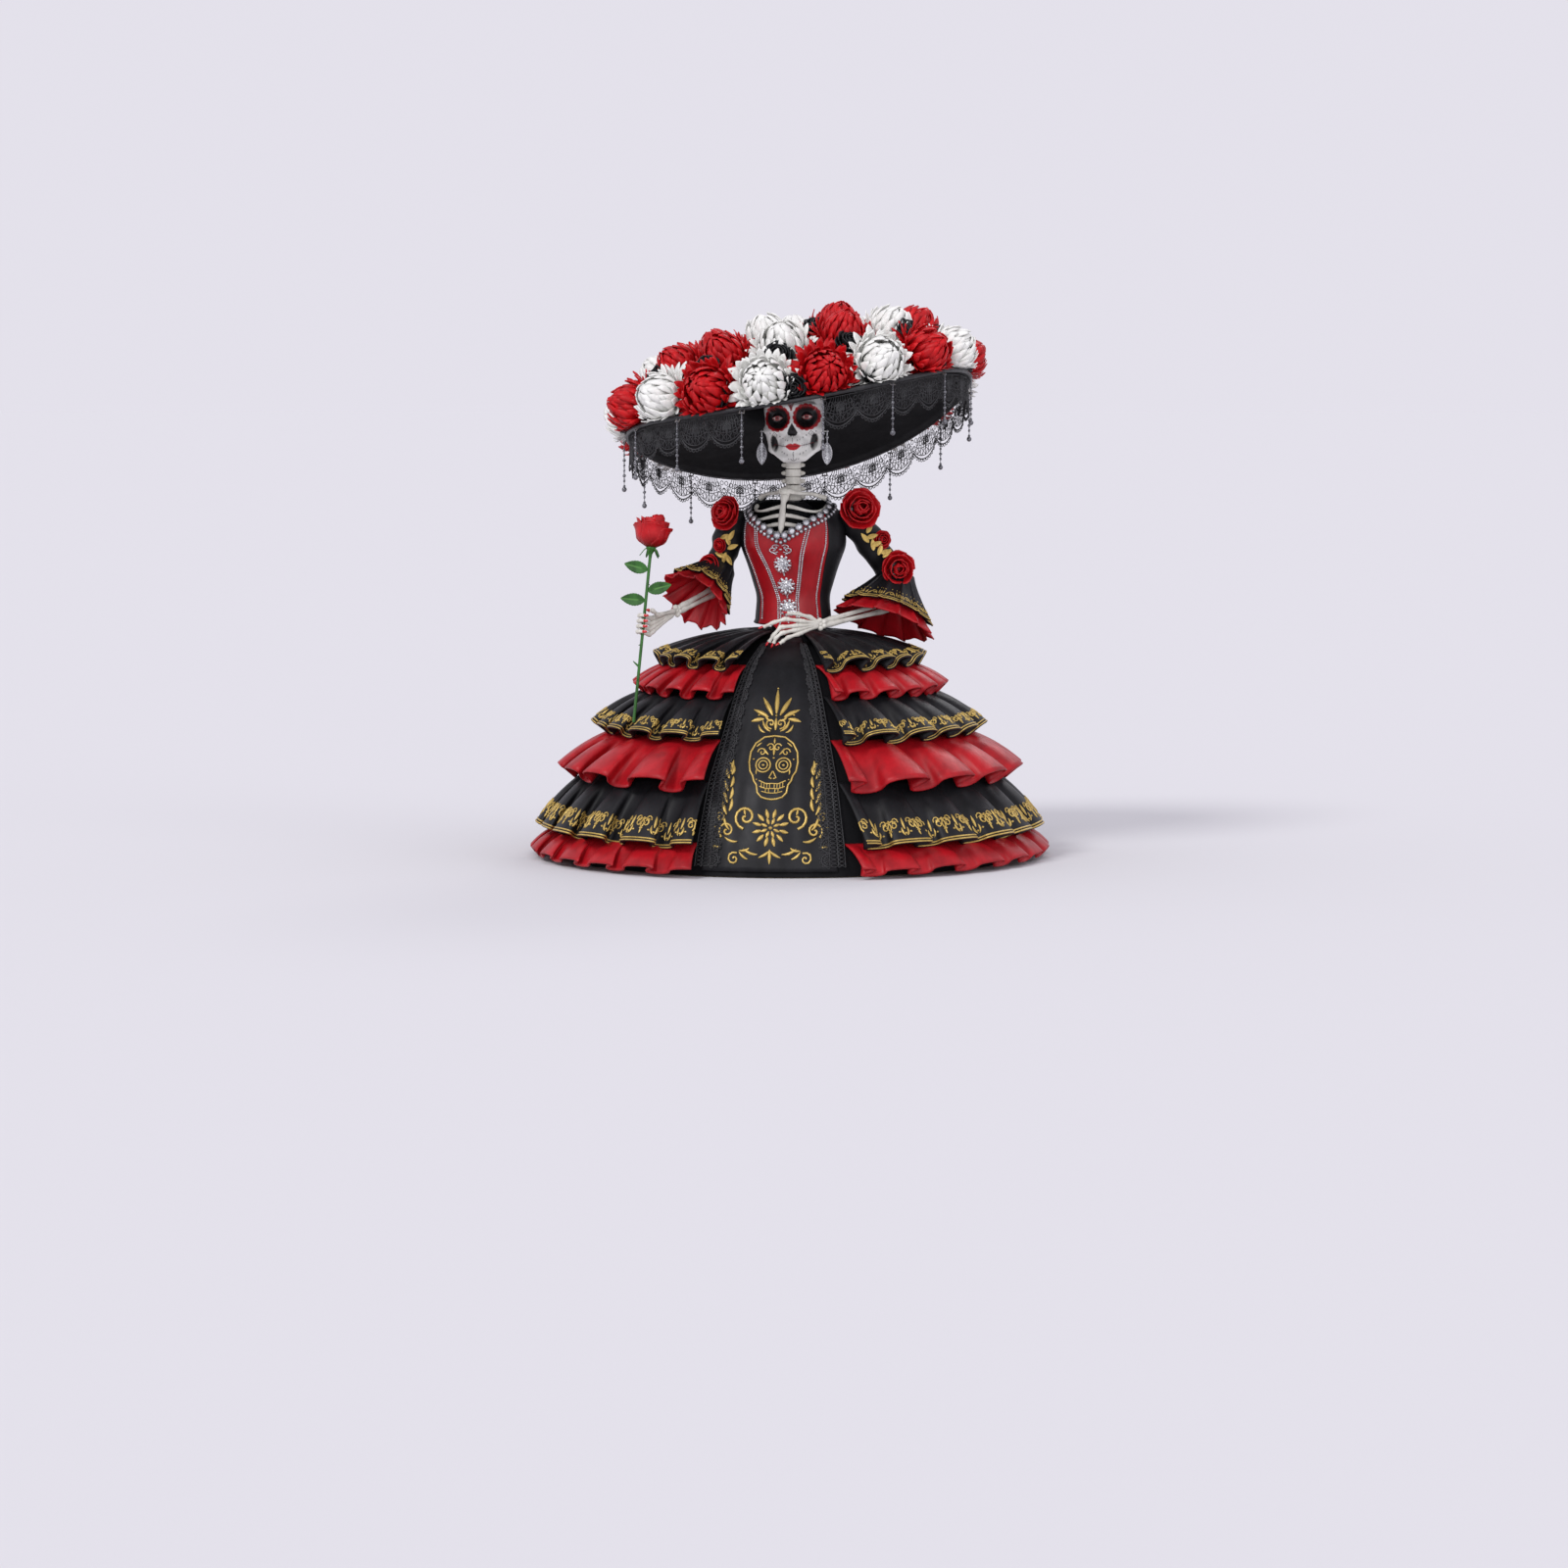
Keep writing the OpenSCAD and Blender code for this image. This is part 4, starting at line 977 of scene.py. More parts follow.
brooch = brooch_mesh()
bm = bmesh.new()
for z in (253, 234, 215):
    foot, way = front_frame(z, 0.6)
    add_mesh(bm, brooch, stand(foot, way, z, 0.92))
link_bead = small_ball(0.9)
for z in (244.6, 243.2, 225.6, 224.1, 206, 204.2, 202.4):
    foot, way = front_frame(z, 1.2)
    add_mesh(bm, link_bead, stand(foot, way))


def over_front(x, z, lift):
    angle = np.degrees(np.asarray(x) / 30)
    return dress_point(angle, np.asarray(z, float), 1.2 + lift)


scrolls = mirrored([curl(1.6, 263.5, 2.9, -150, 1.3, 0.55), curl(0.8, 268.5, 2.4, 150, -1.25, 0.5),
                    leaf_stroke(2.2, 261, 20, 4.2, 0.7, 40)])
bm.from_mesh(stroke_mesh(lay(scrolls + [dot_stroke(0, 265.5, 1.0)], over_front, proud=0.2, sink=0.0), 1))
finish_piece("bodice_brooches", bm, [SILVER, STONE], stands_for=["brooches"])

# %% [markdown]
# ## Bones
# Her bones are paper pulp over wire: smooth, a little lumpy, thicker at their ends. Each bone is a stroke
# with a radius that changes along it. The breastbone is a flat blade; here it is a stroke that widens and
# narrows along it, with a knob pressed flat at its top.

# %% Ribs, collarbones and breastbone
def smooth_line(points, steps=8):
    """A soft line through a few points."""
    points = np.asarray(points, float)
    run = np.concatenate([[0], np.cumsum(np.linalg.norm(np.diff(points, axis=0), axis=1))])
    grown = np.vstack([2 * points[0] - points[1], points, 2 * points[-1] - points[-2]])
    result = []
    for i in range(len(points) - 1):
        a, b, c, d = grown[i:i + 4]
        for t in np.linspace(0, 1, steps, endpoint=False):
            result.append(0.5 * (2 * b + (c - a) * t + (2 * a - 5 * b + 4 * c - d) * t ** 2
                                 + (3 * b - a - 3 * c + d) * t ** 3))
    return np.array(result + [points[-1]]), np.linspace(0, run[-1], len(result) + 1) / run[-1]


STERNUM_TOP = np.array([-4.5, -17.0, 315])
STERNUM_LOW = np.array([-8, -29.0, 279])
bones = []
for number, z in enumerate((302, 294.5, 287, 279.5)):
    for sign in (-1, 1):
        side = sign * np.linspace(3, 80, 30)
        drop = 4.5 * np.sin(np.radians(2 * np.abs(side))) ** 2
        swell = 1.55 + 0.35 * np.cos(np.linspace(0, 2 * math.pi, 30))
        bones.append((dress_point(side, z - drop, -5.2), swell))
for sign in (-1, 1):
    tip = dress_point(np.float64(sign * 88), np.float64(307), -1.0)
    line, run = smooth_line([STERNUM_TOP + (sign * 2.5, 0, 0), mix(STERNUM_TOP, tip, 0.35) + (0, -2.5, 1.0),
                             mix(STERNUM_TOP, tip, 0.7) + (0, 0, 2.6), tip + (0, 0, 1.6)])
    bones.append((line, 1.65 + 1.1 * np.abs(2 * run - 1) ** 2.2))
blade, run = smooth_line([STERNUM_TOP + (0.6, 0.5, -3), mix(STERNUM_TOP, STERNUM_LOW, 0.3),
                          mix(STERNUM_TOP, STERNUM_LOW, 0.7), STERNUM_LOW])
blade_width = np.interp(run, [0, 0.08, 0.2, 0.3, 0.62, 0.85, 1], [2.6, 3.9, 3.3, 2.2, 3.1, 2.6, 0.9])
bm = bmesh.new()
bm.from_mesh(stroke_mesh(bones, 3))
breastbone = stroke_mesh([(blade, blade_width)], 3)
bm.from_mesh(breastbone)
bmesh.ops.create_icosphere(bm, subdivisions=3, radius=4.3 * MM, matrix=Matrix.Translation(
    Vector(STERNUM_TOP + (0.3, 0.3, -1.2)) * MM) @ Matrix.Diagonal((1.12, 0.72, 0.95, 1)))
finish_piece("chest_bones", bm, BONE, stands_for=["rib_cage"])


# %% Neck
def vertebra_mesh():
    bm = bmesh.new()
    bm.from_mesh(lathe([(2.6, 0.1), (6.2, 0.0), (6.9, 0.3), (7.1, 1.2), (6.7, 2.4), (6.6, 4.0), (7.0, 5.4),
                        (6.9, 6.3), (6.2, 6.7), (2.6, 6.6), (2.6, 0.1)], 32))
    for side in (-1, 1):
        wing = Matrix.Translation((side * 7.6 * MM, 2.2 * MM, 2.9 * MM)) @ Matrix.Diagonal((1.5, 1.0, 0.9, 1))
        bmesh.ops.create_icosphere(bm, subdivisions=2, radius=2.3 * MM, matrix=wing)
    spine = Matrix.Translation((0, 8.4 * MM, 1.6 * MM)) @ Matrix.Diagonal((0.7, 1.8, 0.8, 1))
    bmesh.ops.create_icosphere(bm, subdivisions=2, radius=2.2 * MM, matrix=spine)
    mesh = bpy.data.meshes.new("vertebra")
    bm.to_mesh(mesh)
    bm.free()
    return mesh


vertebra = vertebra_mesh()
bm = bmesh.new()
for k in range(5):
    lean = Matrix.Rotation(math.radians(2.5 * math.sin(2.1 * k)), 4, "X")
    size = Matrix.Scale(1.0 - 0.015 * k, 4)
    add_mesh(bm, vertebra,
             Matrix.Translation(Vector((SPINE[0], SPINE[1], 306.5 + 6.9 * k)) * MM) @ lean @ size)
finish_piece("neck_bones", bm, BONE, stands_for=["neck_vertebrae"])
print("chest and neck done")
# %% [markdown]
# ## The skull
# A skull is full of soft hollows that run into each other, which is slow to model face by face. So it is
# described as a lump of pulp: a few eggs pressed together, with other eggs pressed in to leave the sockets,
# the nose and the hollows of the cheeks. `skull_depth` says how far a point is outside that lump. A fine
# ball of points is then shrunk onto it, each point along its own ray, until it touches.

# %% Pressing lumps together
HEAD_AT = np.array([4, -1, 375])
HEAD_MATRIX = Matrix.Translation(Vector(HEAD_AT) * MM) @ Matrix.Rotation(math.radians(-6), 4, "Z") @ \
    Matrix.Rotation(math.radians(-3), 4, "Y")
EYE_X = 12.6
EYE_Y = -13.6
EYE_Z = 3
EYE_R = 5.2


def egg(p, centre, radii):
    scaled = (p - centre) / radii
    size = np.linalg.norm(scaled, axis=1)
    return size * (size - 1) / np.maximum(np.linalg.norm(scaled / radii, axis=1), 1e-6)


def press(first, second, soft):
    """The smooth union of two lumps."""
    blend = np.clip(0.5 + 0.5 * (second - first) / soft, 0, 1)
    return mix(second, first, blend) - soft * blend * (1 - blend)


def dig(body, hole, soft):
    return -press(-body, hole, soft)


def bar(p, start, end, radius):
    start, end = np.array(start, float), np.array(end, float)
    t = np.clip((p - start) @ (end - start) / ((end - start) @ (end - start)), 0, 1)
    return np.linalg.norm(p - start - t[:, None] * (end - start), axis=1) - radius


def skull_depth(p):
    p = np.c_[np.abs(p[:, 0]), p[:, 1:]]
    body = egg(p, (0, 3, 10), (26, 26, 26))
    body = press(body, egg(p, (0, -5, -3), (24.5, 20, 15)), 5)
    body = press(body, egg(p, (0, -8, -21), (13.5, 15, 13)), 4)
    body = press(body, egg(p, (0, -17.5, -19), (10, 9, 9)), 3)
    body = press(body, egg(p, (0, -3, -17), (19.5, 11, 14)), 2)
    body = press(body, bar(p, (22.4, -3, -8), (19.2, -7, -23), 3.0), 3)
    body = press(body, bar(p, (19.2, -7, -23), (8.5, -16.5, -31.5), 3.3), 3)
    body = press(body, egg(p, (0, -18.5, -31), (8, 6.5, 5.4)), 4)
    body = press(body, bar(p, (10, -22.0, -7.5), (23.2, -8, -7), 3.1), 3.5)
    body = press(body, bar(p, (4, -23.5, 12.5), (19.5, -17.5, 12), 2.6), 4)
    body = dig(body, egg(p, (EYE_X, -25.5, EYE_Z), (9.6, 10, 9)), 2.2)
    body = dig(body, egg(p, (2.2, -28.5, -9.8), (2.6, 5.5, 3.0)), 0.8)
    body = dig(body, egg(p, (0, -28.5, -6.0), (2.3, 5.5, 4.2)), 0.8)
    body = dig(body, egg(p, (17.2, -19, -18.5), (3.8, 10, 7.4)), 1.0)
    return dig(body, egg(p, (28.5, -15, 8), (4.5, 8, 8)), 4)


HEART = np.array([0, 6, -4.0])


def shrink_onto(directions):
    """Walk in from outside along each ray, each step as long as the lump is away."""
    reach = np.full(len(directions), 60.0)
    for step in range(70):
        reach = reach - 0.75 * skull_depth(HEART + directions * reach[:, None])
    return HEART + directions * reach[:, None]


# %% [markdown]
# ## Face paint
# Her face is painted on the pulp in thin lines, so the paint is a colour on each point of the fine mesh. The
# brush is a small rule for each mark: the black round the eyes with its ring of red petals, the black nose,
# the lips, the seam of the mouth with teeth across it, and small flowers and dots on cheek, brow and chin.
# Under these marks, grey painted shade darkens the white towards the sides and the back of the head, under
# the cheekbones and under the chin.

# %% Paint the face
WHITE = np.array([0.88, 0.875, 0.85])
SHADE_GREY = np.array([0.30, 0.295, 0.29])
INK = np.array([0.012, 0.011, 0.012])
CARMINE = np.array([0.42, 0.008, 0.014])
DARK_CARMINE = np.array([0.15, 0.004, 0.006])


def brush(colour, mask, tone):
    return colour + (tone - colour) * np.clip(mask, 0, 1)[:, None]


def inside(distance, soft=0.25):
    return np.clip(0.5 - distance / soft, 0, 1)


def paint_face(p):
    x, z = np.abs(p[:, 0]), p[:, 2]
    front = inside(p[:, 1] + 3, 6)
    colour = np.tile(WHITE, (len(p), 1))
    # Grey painted shade: the white darkens towards the sides and the back of the head, in a band under the cheekbones
    # and under the chin.
    colour = brush(colour, 0.6 * np.clip((x - 18.5) / 7, 0, 1) * (z < 14), SHADE_GREY)
    colour = brush(colour, 0.4 * np.clip((p[:, 1] + 2) / 12, 0, 1), SHADE_GREY)
    colour = brush(colour, 0.5 * inside(np.abs(z + 3.4 + 0.12 * x) - 1.4, 4) * (x > 6), SHADE_GREY)
    colour = brush(colour, 0.4 * inside(np.hypot(x, (z + 38) * 0.8) - 6, 6), SHADE_GREY)
    colour = brush(colour,
                   inside(np.hypot((x - 17.2 - 0.14 * (z + 18)) / 3.2, (z + 18.5) / 7.0) - 1, 0.25) * front,
                   INK)
    eye = np.hypot(x - EYE_X, z - EYE_Z)
    turn = np.arctan2(z - EYE_Z, x - EYE_X)
    petals = 10.9 + 0.9 * np.abs(np.cos(8 * turn)) ** 0.7
    colour = brush(colour, inside(eye - petals) * front, CARMINE)
    colour = brush(colour, inside(np.abs(np.cos(8 * turn)) - 0.22, 0.3) * inside(eye - petals) * front,
                   DARK_CARMINE)
    colour = brush(colour, inside(np.abs(eye - 9.6) - 0.25) * front, DARK_CARMINE)
    colour = brush(colour, inside(eye - 9.0) * front, INK)
    nose_half = np.interp(z, [-13.0, -12.0, -10.0, -6.5, -1.6], [1.0, 3.7, 4.5, 3.0, 0.0])
    nose = x - nose_half
    notch = np.hypot(x, z + 13.3) - 0.9
    colour = brush(colour,
                   inside(np.maximum(nose, np.maximum(-13.1 - z, z + 1.6))) * (1 - inside(notch)) * front,
                   INK)
    line = -21.8 + 0.010 * x ** 2
    colour = brush(colour, inside(np.abs(z - line) - 0.28) * (x < 14.6) * front, INK)
    for tooth in (7.9, 9.4, 10.9, 12.3, 13.6):
        length = 2.9 - 0.12 * tooth
        colour = brush(colour,
                       0.8 * inside(np.maximum(np.abs(x - tooth) - 0.14, np.abs(z - line) - length)) * front,
                       INK)
    upper = np.interp(x, [0, 1.5, 3.8, 7.2], [2.0, 2.8, 2.1, 0.0])
    lower = np.interp(x, [0, 3.2, 7.2], [3.3, 2.8, 0.0])
    lips = np.maximum(z - line - upper, line - lower - z)
    colour = brush(colour, inside(lips) * front, CARMINE * 1.25)
    colour = brush(colour, inside(np.maximum(np.abs(z - line) - 0.25, x - 6.6)) * front, DARK_CARMINE * 0.5)
    marks = [(np.abs(np.abs(x - 15.8) + np.abs(z + 11.2) - 2.3) - 0.28, INK),
             (np.hypot(x - 15.8, z + 11.2) - 0.4, INK),
             (np.abs(np.hypot(x, z + 31.2) - 2.6) - 0.3 + 9 * (z > -31.6), INK),
             (np.maximum(x - 0.3, np.abs(z + 30.4) - 2.6), INK), (np.hypot(x, z + 27.0) - 0.55, INK),
             (np.maximum(x - 0.25, np.abs(z + 16.2) - 1.7), INK)]
    for dot_x, dot_z, size in ((11.4, -12.6, 0.55), (19.8, -9.6, 0.5), (8.6, -14.4, 0.45), (5.6, -28.6, 0.55),
                               (8.0, -27.4, 0.5), (10.2, -25.8, 0.45), (4.2, -32.4, 0.5), (4.2, -16.4, 0.45),
                               (6.2, -16.0, 0.4)):
        marks.append((np.hypot(x - dot_x, z - dot_z) - size, INK))
    for distance, tone in marks:
        colour = brush(colour, 0.9 * inside(distance, 0.35) * front, tone)
    for k, lean in enumerate((0.0, 0.5, 1.0)):
        stem = x - lean * (z - 10) * 0.42 - 0.3 * lean
        colour = brush(colour,
                       inside(np.maximum(np.abs(stem) - 0.34, np.abs(z - 14.2 + 1.2 * k) - 3.6)) * front,
                       CARMINE if k != 1 else INK)
    colour = brush(colour, inside(np.hypot(x, z - 9.4) - 0.8) * front, CARMINE)
    colour = brush(colour, inside(np.abs(np.hypot(x - 4.4, z - 18.5) - 2.2) - 0.3) * front, CARMINE)
    return np.c_[colour, np.ones(len(p))]


def painted(name, rough, coat=0.0, lumps=0.3, scale=110):
    """A varnish over colours that were brushed onto the points of a mesh."""
    material = paint(name, (1, 1, 1), (0.86, 0.85, 0.84), rough, coat=coat, lumps=lumps, scale=scale)
    tree = material.node_tree
    shader = tree.nodes["Principled BSDF"]
    brushed = tree.nodes.new("ShaderNodeAttribute")
    brushed.attribute_name = "brushed"
    both = tree.nodes.new("ShaderNodeMix")
    both.data_type = "RGBA"
    both.blend_type = "MULTIPLY"
    both.inputs["Factor"].default_value = 1
    link(tree, shader.inputs["Base Color"].links[0].from_socket, both.inputs["A"])
    link(tree, brushed.outputs["Color"], both.inputs["B"])
    link(tree, both.outputs["Result"], shader.inputs["Base Color"])
    return material


def brush_mesh(mesh, colours):
    layer = mesh.color_attributes.new("brushed", "FLOAT_COLOR", "POINT")
    layer.data.foreach_set("color", np.asarray(colours, np.float32).ravel())


# %% Make the skull, its ears and the pins that carry the earrings
EAR_X = 21
EAR_Y = 2
EAR_Z = 366
bm = bmesh.new()
bmesh.ops.create_icosphere(bm, subdivisions=7, radius=1)
directions = np.array([vertex.co[:] for vertex in bm.verts])
points = shrink_onto(directions)
for vertex, point in zip(bm.verts, points):
    vertex.co = Vector(point) * MM
skull_mesh = bpy.data.meshes.new("skull")
bm.to_mesh(skull_mesh)
bm.free()
skull_mesh.transform(HEAD_MATRIX)
brush_mesh(skull_mesh, paint_face(points))
print("skull points:", len(points), "width", round(float(np.ptp(points[:, 0])), 1), "mm")

bm = bmesh.new()
bm.from_mesh(skull_mesh)
# The ears and the pins get the white darkened to three quarters: the grey painted shade of the sides of the head,
# carried onto them.
ear_shade_white = np.array([*WHITE, 1.0]) * (0.75, 0.75, 0.75, 1)
brushed_layer = bm.verts.layers.float_color["brushed"]
skull_points = len(bm.verts)
for side in (-1, 1):
    middle = np.array([HEAD_AT[0] + side * (EAR_X + 1.2), EAR_Y, EAR_Z + 1.5])
    turn = np.linspace(0, 2 * math.pi, 25)
    shell = np.c_[middle[0] + side * 0.9 * np.cos(turn), middle[1] + 3.0 * np.sin(turn),
                  middle[2] + 5.6 * np.cos(turn)]
    inner = np.c_[middle[0] + 0 * turn, middle[1] + 1.4 * np.sin(turn), middle[2] + 1 + 2.8 * np.cos(turn)]
    pin = np.array([(HEAD_AT[0] + side * x, EAR_Y, EAR_Z) for x in (EAR_X - 4, EAR_X + 4, EAR_X + 8.4)])
    lobe = np.array([(HEAD_AT[0] + side * x, EAR_Y, EAR_Z + 1) for x in (EAR_X - 5, EAR_X - 1, EAR_X + 1.8)])
    bm.from_mesh(stroke_mesh([(shell, 1.5), (inner, 1.1), (pin, 0.6), (lobe, np.array([3.5, 3.6, 2.6]))], 3))
for vertex in list(bm.verts)[skull_points:]:
    vertex[brushed_layer] = ear_shade_white
face_paint = painted("face_paint", 0.42, coat=0.12)
finish_piece("skull_painted", bm, face_paint, stands_for=["skull"])

# %% [markdown]
# The eyes are balls with heavy lids. The opening between the lids is a narrow almond, and inside it there is
# a red iris on a pale ground. The lids stand a little proud of the ball.

# %% Eyes
def eye_colours(p):
    x, z = p[:, 0], p[:, 2]
    colour = np.tile(INK, (len(p), 1))
    opening = np.abs(z + 0.1) - 1.55 * np.clip(1 - (x / 4.3) ** 2, 0, 1)
    seen = inside(opening, 0.4) * (p[:, 1] < 0)
    colour = brush(colour, seen, np.array([0.62, 0.50, 0.46]))
    colour = brush(colour, seen * inside(np.hypot(x, z) - 1.9, 0.4), np.array([0.34, 0.03, 0.03]))
    colour = brush(colour, seen * inside(np.hypot(x, z) - 0.75, 0.3), INK)
    colour = brush(colour, inside(np.abs(opening - 0.15) - 0.22, 0.3) * (p[:, 1] < 0), CARMINE * 0.6)
    return np.c_[colour, np.ones(len(p))], inside(-opening, 0.5)


bm = bmesh.new()
ball = bpy.data.meshes.new("eyes")
for side in (-1, 1):
    bmesh.ops.create_icosphere(bm, subdivisions=5, radius=EYE_R * MM,
                               matrix=Matrix.Translation(Vector((side * EYE_X, EYE_Y, EYE_Z)) * MM))
local = np.array([vertex.co[:] for vertex in bm.verts]) / MM
local = local - np.c_[np.sign(local[:, 0]) * EYE_X, np.full(len(local), EYE_Y), np.full(len(local), EYE_Z)]
colours, lid = eye_colours(local)
for vertex, away, proud in zip(bm.verts, unit(local), lid):
    vertex.co += Vector(away) * (0.35 * proud * MM)
bm.to_mesh(ball)
bm.free()
ball.transform(HEAD_MATRIX)
brush_mesh(ball, colours)
finish_piece("eyes_painted", ball, painted("eye_paint", 0.2, coat=0.5, lumps=0.05), stands_for=["eyes"])

# %% Hair: a combed cap behind the ears
HAIR_R = 28.0


def hair_place(u, v):
    side = np.radians(mix(15, 165, u))
    climb = np.radians(mix(88.5, -42, v))
    groove = 0.35 * np.abs(np.sin(26 * np.pi * u + 3 * v)) + 0.25 * np.sin(61 * u + 5 * v)
    radius = HAIR_R - 0.5 + groove * np.clip(v * 5, 0, 1)
    return np.stack([radius * np.cos(climb) * np.cos(side), 3 + radius * np.cos(climb) * np.sin(side),
                     10 + radius * np.sin(climb)], axis=-1)


bm = face_out(bend_grid(hair_place, 150, 30), (0, 3, 10))
bmesh.ops.transform(bm, matrix=HEAD_MATRIX, verts=bm.verts)
hair = finish_piece("hair_combed", bm,
                    paint("hair", (0.014, 0.013, 0.013), (0.006, 0.006, 0.006), 0.36, lumps=0.3,
                                             scale=200), stands_for=["hair"])
wall(hair, 1.1)

# %% [markdown]
# ## Earrings
# Each earring is a silver leaf on a wire that swings on its pin. The leaf has a rim, a middle vein and side
# veins, with small stones down the middle, on both of its faces.

# %% Earrings
EARRING_X = 28.2
LEAF_HALF = 4.3
LEAF_HEIGHT = 19


def earring_mesh():
    t = np.linspace(-1, 1, 21)
    middle_z = -9.5 - LEAF_HEIGHT / 2
    edge_z = middle_z - t * LEAF_HEIGHT / 2
    half = LEAF_HALF * (1 - t ** 2) ** 0.85
    turn = np.linspace(0, 2 * math.pi, 17)
    strokes = [(np.c_[0 * turn, 1.2 * np.cos(turn), 1.2 * np.sin(turn)], 0.42),
               (np.array([(0, 0, -1.4), (0, 0, -10)]), 0.42)]
    for face in (-0.35, 0.35):
        for side in (-1, 1):
            strokes.append((np.c_[side * half * 0.94, face + 0 * t, edge_z], 0.42))
            for k in range(6):
                z = middle_z + 6.0 - 2.3 * k
                reach = np.interp(z - 1.6, edge_z[::-1], half[::-1]) * 0.86
                strokes.append((np.array([(0, face, z), (side * reach * 0.6, face, z - 0.5),
                                          (side * reach, face, z - 1.6)]), np.array([0.34, 0.3, 0.22])))
        strokes.append((np.c_[0 * t, face + 0 * t, edge_z], 0.34))
    bm = bmesh.new()
    bm.from_mesh(stroke_mesh(strokes, 1))
    rows = [bm.verts.new((side * width * 0.9 * MM, -0.28 * MM, z * MM))
            for side, order in ((1, slice(None)), (-1, slice(None, None, -1)))
            for width, z in list(zip(half, edge_z))[1:-1][order]]
    plate = bm.faces.new(rows)
    wires = len(bm.faces) - 1
    thick = bmesh.ops.extrude_face_region(bm, geom=[plate])
    bmesh.ops.translate(bm, vec=(0, 0.56 * MM, 0),
                        verts=[part for part in thick["geom"] if isinstance(part, bmesh.types.BMVert)])
    bmesh.ops.recalc_face_normals(bm, faces=bm.faces)
    bm.faces.ensure_lookup_table()
    for face in bm.faces[wires:]:
        face.material_index = 2
    stone = set_stone(1.15)
    for face, way in ((-0.4, (0, -1, 0)), (0.4, (0, 1, 0))):
        for z in (-12.6, -15.8, -19.2, -22.6):
            add_mesh(bm, stone, stand((0, face, z), way))
    add_mesh(bm, small_ball(1.35, 2), Matrix.Translation((0, 0, -5 * MM)))
    add_mesh(bm, small_ball(0.8), Matrix.Translation((0, 0, -7.4 * MM)))
    mesh = bpy.data.meshes.new("earring")
    bm.to_mesh(mesh)
    bm.free()
    return mesh


drop_earring = earring_mesh()
for side, name in ((1, "earring_left"), (-1, "earring_right")):
    bm = bmesh.new()
    add_mesh(bm, drop_earring, Matrix.Translation(Vector((HEAD_AT[0] + side * EARRING_X, EAR_Y, EAR_Z)) * MM))
    finish_piece(name + "_leaf", bm, [SILVER, STONE, OLD_SILVER], body=name, stands_for=[name],
                 smooth=False)
print("head done")
# %% [markdown]
# ## The hat
# The hat is one shell of pasted paper: a low crown and a brim that rises at the sides, like a saddle. The
# rule below puts the outline of the hat round in a ring, bends it into the saddle and tips it back and to
# one side. Everything that sits on the hat uses the same rule, so it all tips with it.

# %% Shape of the hat
HAT_AT = np.array([10, -12, 373.5])
HAT_TILT = math.radians(13)
HAT_ROLL = math.radians(10)
BRIM_R = 149
SADDLE = 13


def hat_point(radius, degrees, z):
    angle = np.radians(degrees)
    x, y = radius * np.cos(angle), radius * np.sin(angle)
    z = z + SADDLE * (radius / 150) ** 2 * np.cos(2 * angle)
    y, z = y * math.cos(HAT_TILT) + z * math.sin(HAT_TILT), z * math.cos(HAT_TILT) - y * math.sin(HAT_TILT)
    x, z = x * math.cos(HAT_ROLL) - z * math.sin(HAT_ROLL), z * math.cos(HAT_ROLL) + x * math.sin(HAT_ROLL)
    return HAT_AT + np.stack(np.broadcast_arrays(x, y, z), axis=-1)


CROWN_TOP = [(3, 47.8), (30, 47.4), (42, 42), (48.5, 30), (52, 18.5)]
CROWN_UNDER = [(3, 45.4), (29, 45.2), (40, 39.6), (46, 28.4), (49.5, 16)]


def brim_curve(start, rim_z, steps=9):
    t = np.linspace(0, 1, steps + 1)[1:]
    return list(zip(mix(start[0], BRIM_R, t), mix(start[1], rim_z, 1 - (1 - t) ** 1.15)))


hat_outline = np.array([(0.5, 47.8)] + CROWN_TOP + brim_curve(CROWN_TOP[-1], 0.5)
                       + brim_curve(CROWN_UNDER[-1], -1.9)[::-1] + CROWN_UNDER[::-1] + [(0.5, 45.4)])
outline_run = np.linspace(0, 1, len(hat_outline))


def hat_shell(u, v):
    radius = np.interp(v, outline_run, hat_outline[:, 0])
    height = np.interp(v, outline_run, hat_outline[:, 1])
    return hat_point(radius, 360 * u, height)


bm = bend_grid(hat_shell, 120, len(hat_outline) - 1, ring=True)
bmesh.ops.holes_fill(bm, edges=[edge for edge in bm.edges if edge.is_boundary])
bmesh.ops.remove_doubles(bm, verts=bm.verts, dist=0.01 * MM)
bmesh.ops.recalc_face_normals(bm, faces=bm.faces)
hat = finish_piece("hat_shell", bm, MATT_BLACK, body="hat", stands_for=["hat_brim"])
print("hat faces:", len(hat.data.polygons))

# %% Binding cord round the rim
BINDING_R = 1.8
rim = np.linspace(0, 360, 181)
cord = hat_point(BRIM_R + 0.6, rim, -0.7)
finish_piece("rim_binding", stroke_mesh([(cord, BINDING_R)], 3),
             paint("binding", (0.030, 0.030, 0.033), (0.014, 0.014, 0.016), 0.38, lumps=0.3, scale=160),
             body="hat", stands_for=["brim_binding"])

# %% [markdown]
# ## Fringe of lace
# Twenty-eight scallops of black lace hang from the rim, and leave her face free. A hanging scallop is drawn
# flat, with x along the rim and y below it. The drawing is then hung straight down from the rim, so that the
# threads fall as cloth does and don't follow the tip of the hat.

# %% One hanging scallop
LACE_R = 147
LACE_START = -82
LACE_SWEEP = 334
SCALLOPS = 28
VALLEY = 17
LOBE = 28
THREAD = 0.5


def scallop_edge(x):
    """How far the edge hangs below the rim at x, from 0 to 1 across a scallop."""
    return VALLEY + (LOBE - VALLEY) * np.sin(np.pi * np.clip(x, 0, 1)) ** 0.8


